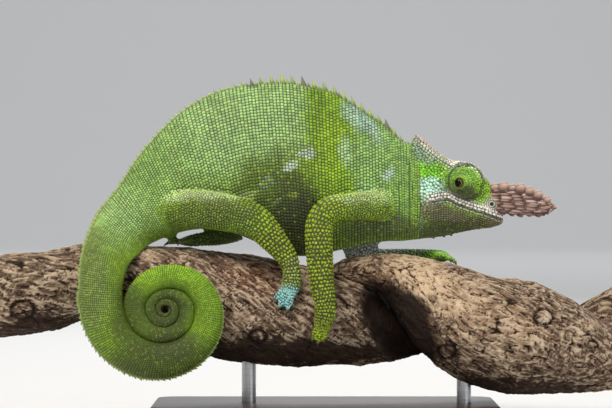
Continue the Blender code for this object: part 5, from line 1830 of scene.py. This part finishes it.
# The hollow between the stems: x, z, half width, half height and turn; how deep stem A is carved there; and its
# near-black painted shadow, laid on both stems
HOLLOW = (39.0, 41.5, 18.5, 11.0, -50)
HOLLOW_DEPTH = 9.0
HOLLOW_SHADOW_TONE = "#0d0907"
DARK_BARK = 0.05
KNOTS = (
    # x, z, side of the stem, radius, how far it stands out
    (98.0, 44.5, -1, 5.0, 1.2), (-118.0, 47.0, -1, 6.0, 0.9), (-20.0, 36.0, -1, 4.4, 0.8),
    (58.0, 30.0, -1, 4.6, 0.9),
)
BARK_BASE = "#6d5847"
BARK_ZONES = [
    (-104.0, 60.0, 30.0, 14.0, 0, "#5f4d3e", 0.8, 0.6),
    (-112.0, 63.0, 22.0, 5.0, -4, "#95806a", 0.6, 0.8),
    (-66.0, 70.0, 5.0, 2.4, 0, "#b9a184", 0.8, 0.5),
    (-18.0, 62.0, 15.0, 9.0, -20, "#7d4f35", 0.65, 0.7),
    (-28.0, 40.0, 26.0, 14.0, -14, "#6a5745", 0.6, 0.6),
    (22.0, 62.0, 18.0, 6.0, -10, "#8d6c50", 0.6, 0.6),
    # painted highlight: stem B's lit top, paler
    (52.0, 58.0, 22.0, 8.0, -38, "#dcc09c", 0.95, 0.6),
    (80.0, 44.0, 24.0, 9.0, -16, "#ab8e72", 0.85, 0.6),
    (76.0, 30.0, 30.0, 9.0, -16, "#87705b", 0.7, 0.6),
    (98.0, 44.0, 4.4, 2.6, -12, "#d8c7ae", 0.8, 0.5),
    (117.0, 41.0, 4.0, 2.4, 10, "#ccb296", 0.7, 0.5),
    # painted shade: the near-black undersides of the stems, in this and the next two zones
    (-10.0, 28.5, 62.0, 8.5, 0, "#241a14", 0.95, 0.6),
    (92.0, 13.0, 46.0, 9.0, -6, "#2c2019", 0.95, 0.6),
    (-112.0, 38.0, 30.0, 7.5, 8, "#2a1e17", 0.95, 0.6),
]
SCAR = ((114.0, 29.5), (120.0, 34.5), (126.0, 38.5), (132.0, 42.5))
SCAR_WIDTH = 2.4
SCAR_TONE = "#c9a79a"


def ridged(places, seed):
    """Noise that peaks in thin crests, from 0 to 1, at places given in its own cells."""
    shift = Vector((seed * 7.3, seed * 3.1, seed * 5.7))
    return 1 - np.abs(np.array([noise.noise(Vector(p) + shift) for p in places.tolist()])) * 2


def bark_relief(points, axis, turn, seed):
    """How far each point of a stem stands in or out, in mm, and how light it is: painted shade in the splits and
    round the knots, painted highlight on the fibres' crests, and random patches.
    """
    axis = np.array(axis)
    x, y, z = points.T
    cy, cz, radius = (np.interp(x, axis[:, 0], axis[:, k]) for k in (1, 2, 3))
    angle = np.arctan2(z - cz, y - cy) + turn * x
    ring_y, ring_z = np.cos(angle) * radius, np.sin(angle) * radius
    wander = np.array([noise.noise(Vector(p) / 13.0) for p in points.tolist()]) * 2.2

    def cells(long_, wide):
        return np.column_stack([x / long_, (ring_y + wander) / wide, (ring_z + wander) / wide])

    lumps = ridged(cells(30, 10), seed) - 0.6
    fibres = ridged(cells(8.5, 1.9), seed + 1) ** 2
    threads = ridged(cells(4.4, 0.95), seed + 2)
    split = smooth_step(0.9, 0.985, ridged(cells(12, 3.1), seed + 3))
    across = smooth_step(0.9, 0.985, ridged(cells(2.1, 3.4), seed + 4))
    patches = 0.5 + 0.5 * np.array([noise.noise(Vector(p) / 9.0) for p in points.tolist()])
    height = 0.6 * lumps + 0.5 * fibres + 0.3 * threads - 0.75 * split - 0.45 * across
    # painted shade in splits and cracks, painted highlight on raised fibres
    shade = 0.2 + 0.3 * fibres + 0.3 * threads + 0.25 * patches - 0.6 * split - 0.4 * across
    for kx, kz, side, size, rise in KNOTS:
        away = np.hypot(x - kx, (z - kz) * 1.3)
        near = (y - cy) * side > 0
        furrow = 1.1 * np.exp(-(((away - size * 0.8) / 0.7) ** 2))
        height += near * (rise * np.exp(-((away / size) ** 2)) - furrow)
        # painted shade in the furrow round each knot
        shade -= near * 0.5 * np.exp(-(((away - size * 0.8) / 0.8) ** 2))
    return height, np.clip(shade, 0, 1)


def make_branch(finish):
    """Both stems, as packed but with their bark's fibres, splits and knots in the mesh."""
    made = []
    for seed, (name, axis) in enumerate(STEM_AXES.items()):
        stem = remeshed(joined(name.replace("perch", "bark"), [node_copy(name, 0.0)]), BARK_VOXEL)
        points = smoothed(stem.data, points_of(stem.data), BARK_SMOOTH, 0.5)
        set_points(stem.data, points)
        hollow = zone_share(wobbled(points, 5.0, 1.6), (*HOLLOW, HOLLOW_SHADOW_TONE, 1.0, 0.35))
        hollow = hollow * (points[:, 1] < 14.0)
        carved = hollow * name.endswith("a")
        height, shade = bark_relief(points, axis, BARK_TURNS[name], 10 * seed)
        inside = smooth_step(131.9, 129.0, np.abs(points[:, 0]))
        end = (1 - inside) * (np.abs(normals_of(stem.data)[:, 0]) > 0.7)
        points = points + normals_of(stem.data) * ((height - 0.55) * BARK_DEPTH * 0.62 * inside)[:, None]
        points[:, 1] += carved * HOLLOW_DEPTH
        set_points(stem.data, points)
        tone = np.tile(linear_array(BARK_BASE), (len(points), 1))
        moved = wobbled(points, 7.0, 4.0)
        for zone in BARK_ZONES:
            tone = mixed(tone, zone[5], zone_share(moved, zone) * 0.85)
        if name.endswith("a"):
            away = line_distance(points, SCAR)
            share = np.exp(-((away / SCAR_WIDTH) ** 2)) * 0.9
            tone = mixed(tone, SCAR_TONE, share)
            shade = shade + (0.62 - shade) * share
        # painted shadow in the hollow, on stem B too where nothing is carved
        tone = mixed(tone, HOLLOW_SHADOW_TONE, hollow)
        # dark tones, mostly painted shade on the undersides and in the hollow, keep the relief dark, and the
        # hollow's painted shadow takes the relief's light out
        shade = shade * np.clip(tone.mean(1) / DARK_BARK, 0.3, 1) * (1 - 0.95 * hollow)
        paint(stem.data, tone)
        for key, value in (("relief", shade), ("cut_end", end)):
            mark(stem.data, key, "value", value)
        stem.data.shade_smooth()
        stem.data.materials.append(finish)
        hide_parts(name)
        made.append(stem)
    return made


def bark_material():
    """Weathered bark: tan fibres with a pale painted highlight on their crests, over near-black splits whose
    darkness is partly the bark's own and partly painted shade, with rings on its sawn ends.
    """
    made, tree, shader = material("branch_bark")
    tone = add(tree, "ShaderNodeAttribute", {"attribute_name": "tone"}).outputs["Color"]
    relief = add(tree, "ShaderNodeAttribute", {"attribute_name": "relief"}).outputs["Fac"]
    end = add(tree, "ShaderNodeAttribute", {"attribute_name": "cut_end"}).outputs["Fac"]
    fibre = grain(tree, 0.55, 5.0, (9, 1, 1), 0.65)
    patch = grain(tree, 5.0, 4.0, (2, 1, 1))
    level = calc(tree, "MULTIPLY_ADD", fibre, 0.55, relief)
    dark = add(tree, "ShaderNodeMapRange", Value=level, From_Min=0.42, From_Max=0.84).outputs[0]
    # painted shade: the lowest relief turns near black
    colour = blend(tree, dark, "#120b07", tone)
    light = add(tree, "ShaderNodeMapRange", Value=level, From_Min=0.8, From_Max=1.15).outputs[0]
    # painted highlight: the highest relief turns pale
    colour = blend(tree, calc(tree, "MULTIPLY", light, 0.85), colour, "#e2cdb0")
    colour = blend(tree, calc(tree, "MULTIPLY", patch, 0.32), colour, "#4a3427")
    where = add(tree, "ShaderNodeTexCoord").outputs["Object"]
    scale = [0.0, 1 / (9 * MM), 1 / (9 * MM)]
    centred = add(tree, "ShaderNodeMapping", Vector=where, Scale=scale, Location=(0, -0.4, -5.6)).outputs[0]
    rings = add(
        tree,
        "ShaderNodeTexWave",
        {"wave_type": "RINGS", "rings_direction": "SPHERICAL"},
        Vector=centred,
        Scale=1.6,
        Distortion=1.5,
        Detail=2.0,
    ).outputs["Fac"]
    wood = ramp(tree, rings, [(0.0, "#8c6b48"), (0.6, "#b08a60"), (1.0, "#c9a67c")])
    tree.links.new(blend(tree, end, colour, wood), shader.inputs["Base Color"])
    set_inputs(shader, Roughness=0.86, Specular_IOR_Level=0.25)
    bump = add(tree, "ShaderNodeBump", Height=fibre, Strength=0.7, Distance=0.3 * MM).outputs[0]
    tree.links.new(bump, shader.inputs["Normal"])
    return made


BASE_SIZE = (144.0, 86.0, 8.0)
BASE_MIDDLE_X = 8.0
BASE_CORNER = 9.0
BASE_EDGE = 1.0
RODS = {"rear": (-24.0, 2.5, 34.0), "front": (66.0, -6.6, 32.0)}
ROD_RADIUS = 3.0
ROD_SIDES = 64


def base_outline(inset, z):
    points = []
    half_x, half_y = BASE_SIZE[0] / 2, BASE_SIZE[1] / 2
    for corner, (sx, sy) in enumerate(((1, 1), (-1, 1), (-1, -1), (1, -1))):
        for k in range(17):
            angle = math.pi / 2 * (corner + k / 16)
            radius = BASE_CORNER - inset
            points.append(
                (
                    BASE_MIDDLE_X + sx * (half_x - BASE_CORNER) + radius * math.cos(angle),
                    sy * (half_y - BASE_CORNER) + radius * math.sin(angle),
                    z,
                )
            )
    return points


def make_stand(wood, steel):
    """The stained wooden base with its eased edges, and the two brushed rods."""
    rings = [base_outline(BASE_EDGE, 0.0), base_outline(0.3, 0.3), base_outline(0.0, BASE_EDGE)]
    for k in range(7):
        angle = math.pi / 2 * k / 6
        inset = BASE_EDGE * (1 - math.cos(angle))
        rings.append(base_outline(inset, BASE_SIZE[2] - BASE_EDGE + BASE_EDGE * math.sin(angle)))
    base = loft("stand_plinth", np.array(rings))
    base.data.materials.append(wood)
    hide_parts("stand_base")
    made = [base]
    for name, (x, y, top) in RODS.items():
        angle = np.arange(ROD_SIDES) * TAU / ROD_SIDES
        circle = ROD_RADIUS * np.column_stack([np.cos(angle), np.sin(angle)])
        ring = np.column_stack([circle + (x, y), np.zeros(ROD_SIDES)])
        rod = loft(f"stand_pin_{name}", np.array([ring + [0, 0, z] for z in (BASE_SIZE[2], top)]))
        rod.data.shade_smooth()
        rod.data.materials.append(steel)
        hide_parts(f"stand_rod_{name}")
        made.append(rod)
    base.data.shade_smooth()
    for obj in made:
        obj.data.set_sharp_from_angle(angle=math.radians(35))
    return made


def wood_material():
    """Dark stained hardwood under satin varnish, its grain along the base."""
    made, tree, shader = material("stand_stained_wood")
    broad = grain(tree, 5.0, 3.0, (14, 1, 1))
    fine = grain(tree, 0.6, 4.0, (30, 1, 1), 0.7)
    level = calc(tree, "MULTIPLY_ADD", fine, 0.5, calc(tree, "MULTIPLY", broad, 0.6))
    colour = ramp(tree, level, [(0.3, "#1d120c"), (0.52, "#3a2418"), (0.75, "#5a3a26")])
    tree.links.new(colour, shader.inputs["Base Color"])
    set_inputs(shader, Roughness=0.34, Coat_Weight=0.3, Coat_Roughness=0.2)
    bump = add(tree, "ShaderNodeBump", Height=fine, Strength=0.25, Distance=0.05 * MM).outputs[0]
    tree.links.new(bump, shader.inputs["Normal"])
    return made


def steel_material():
    """Brushed steel rod: fine turned lines round it, soft highlights."""
    made, tree, shader = material("stand_brushed_steel")
    lines = grain(tree, 0.25, 3.0, (40, 40, 1))
    colour = ramp(tree, lines, [(0.3, "#a4a6aa"), (0.7, "#c6c8cb")])
    tree.links.new(colour, shader.inputs["Base Color"])
    set_inputs(shader, Metallic=1.0)
    rough = add(tree, "ShaderNodeMapRange", Value=lines, To_Min=0.24, To_Max=0.4).outputs[0]
    tree.links.new(rough, shader.inputs["Roughness"])
    bump = add(tree, "ShaderNodeBump", Height=lines, Strength=0.15, Distance=0.03 * MM).outputs[0]
    tree.links.new(bump, shader.inputs["Normal"])
    return made


def main():
    skin = make_skin()
    skin.data.materials.append(skin_material())
    group = repeat_tree()
    shapes = {kind: scale_shape(kind) for kind in KINDS}
    pieces = make_coat(skin, group, shapes, scale_material())
    pieces.append(make_crest(group, spine_material()))
    claws = make_claws(group, claw_material())
    horns = make_horns(group, horn_material("horn_core", True), horn_material("horn_scales", False), shapes)
    eyes = make_eyes(eye_material())
    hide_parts(*FLESH)
    perch = make_branch(bark_material())
    stand = make_stand(wood_material(), steel_material())
    for piece in [skin, *pieces, claws, *horns, *eyes, *perch, *stand]:
        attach(piece, "root")
    make_floor()
    make_light()
    make_camera()
    bpy.context.scene.view_settings.view_transform = "Standard"


main()
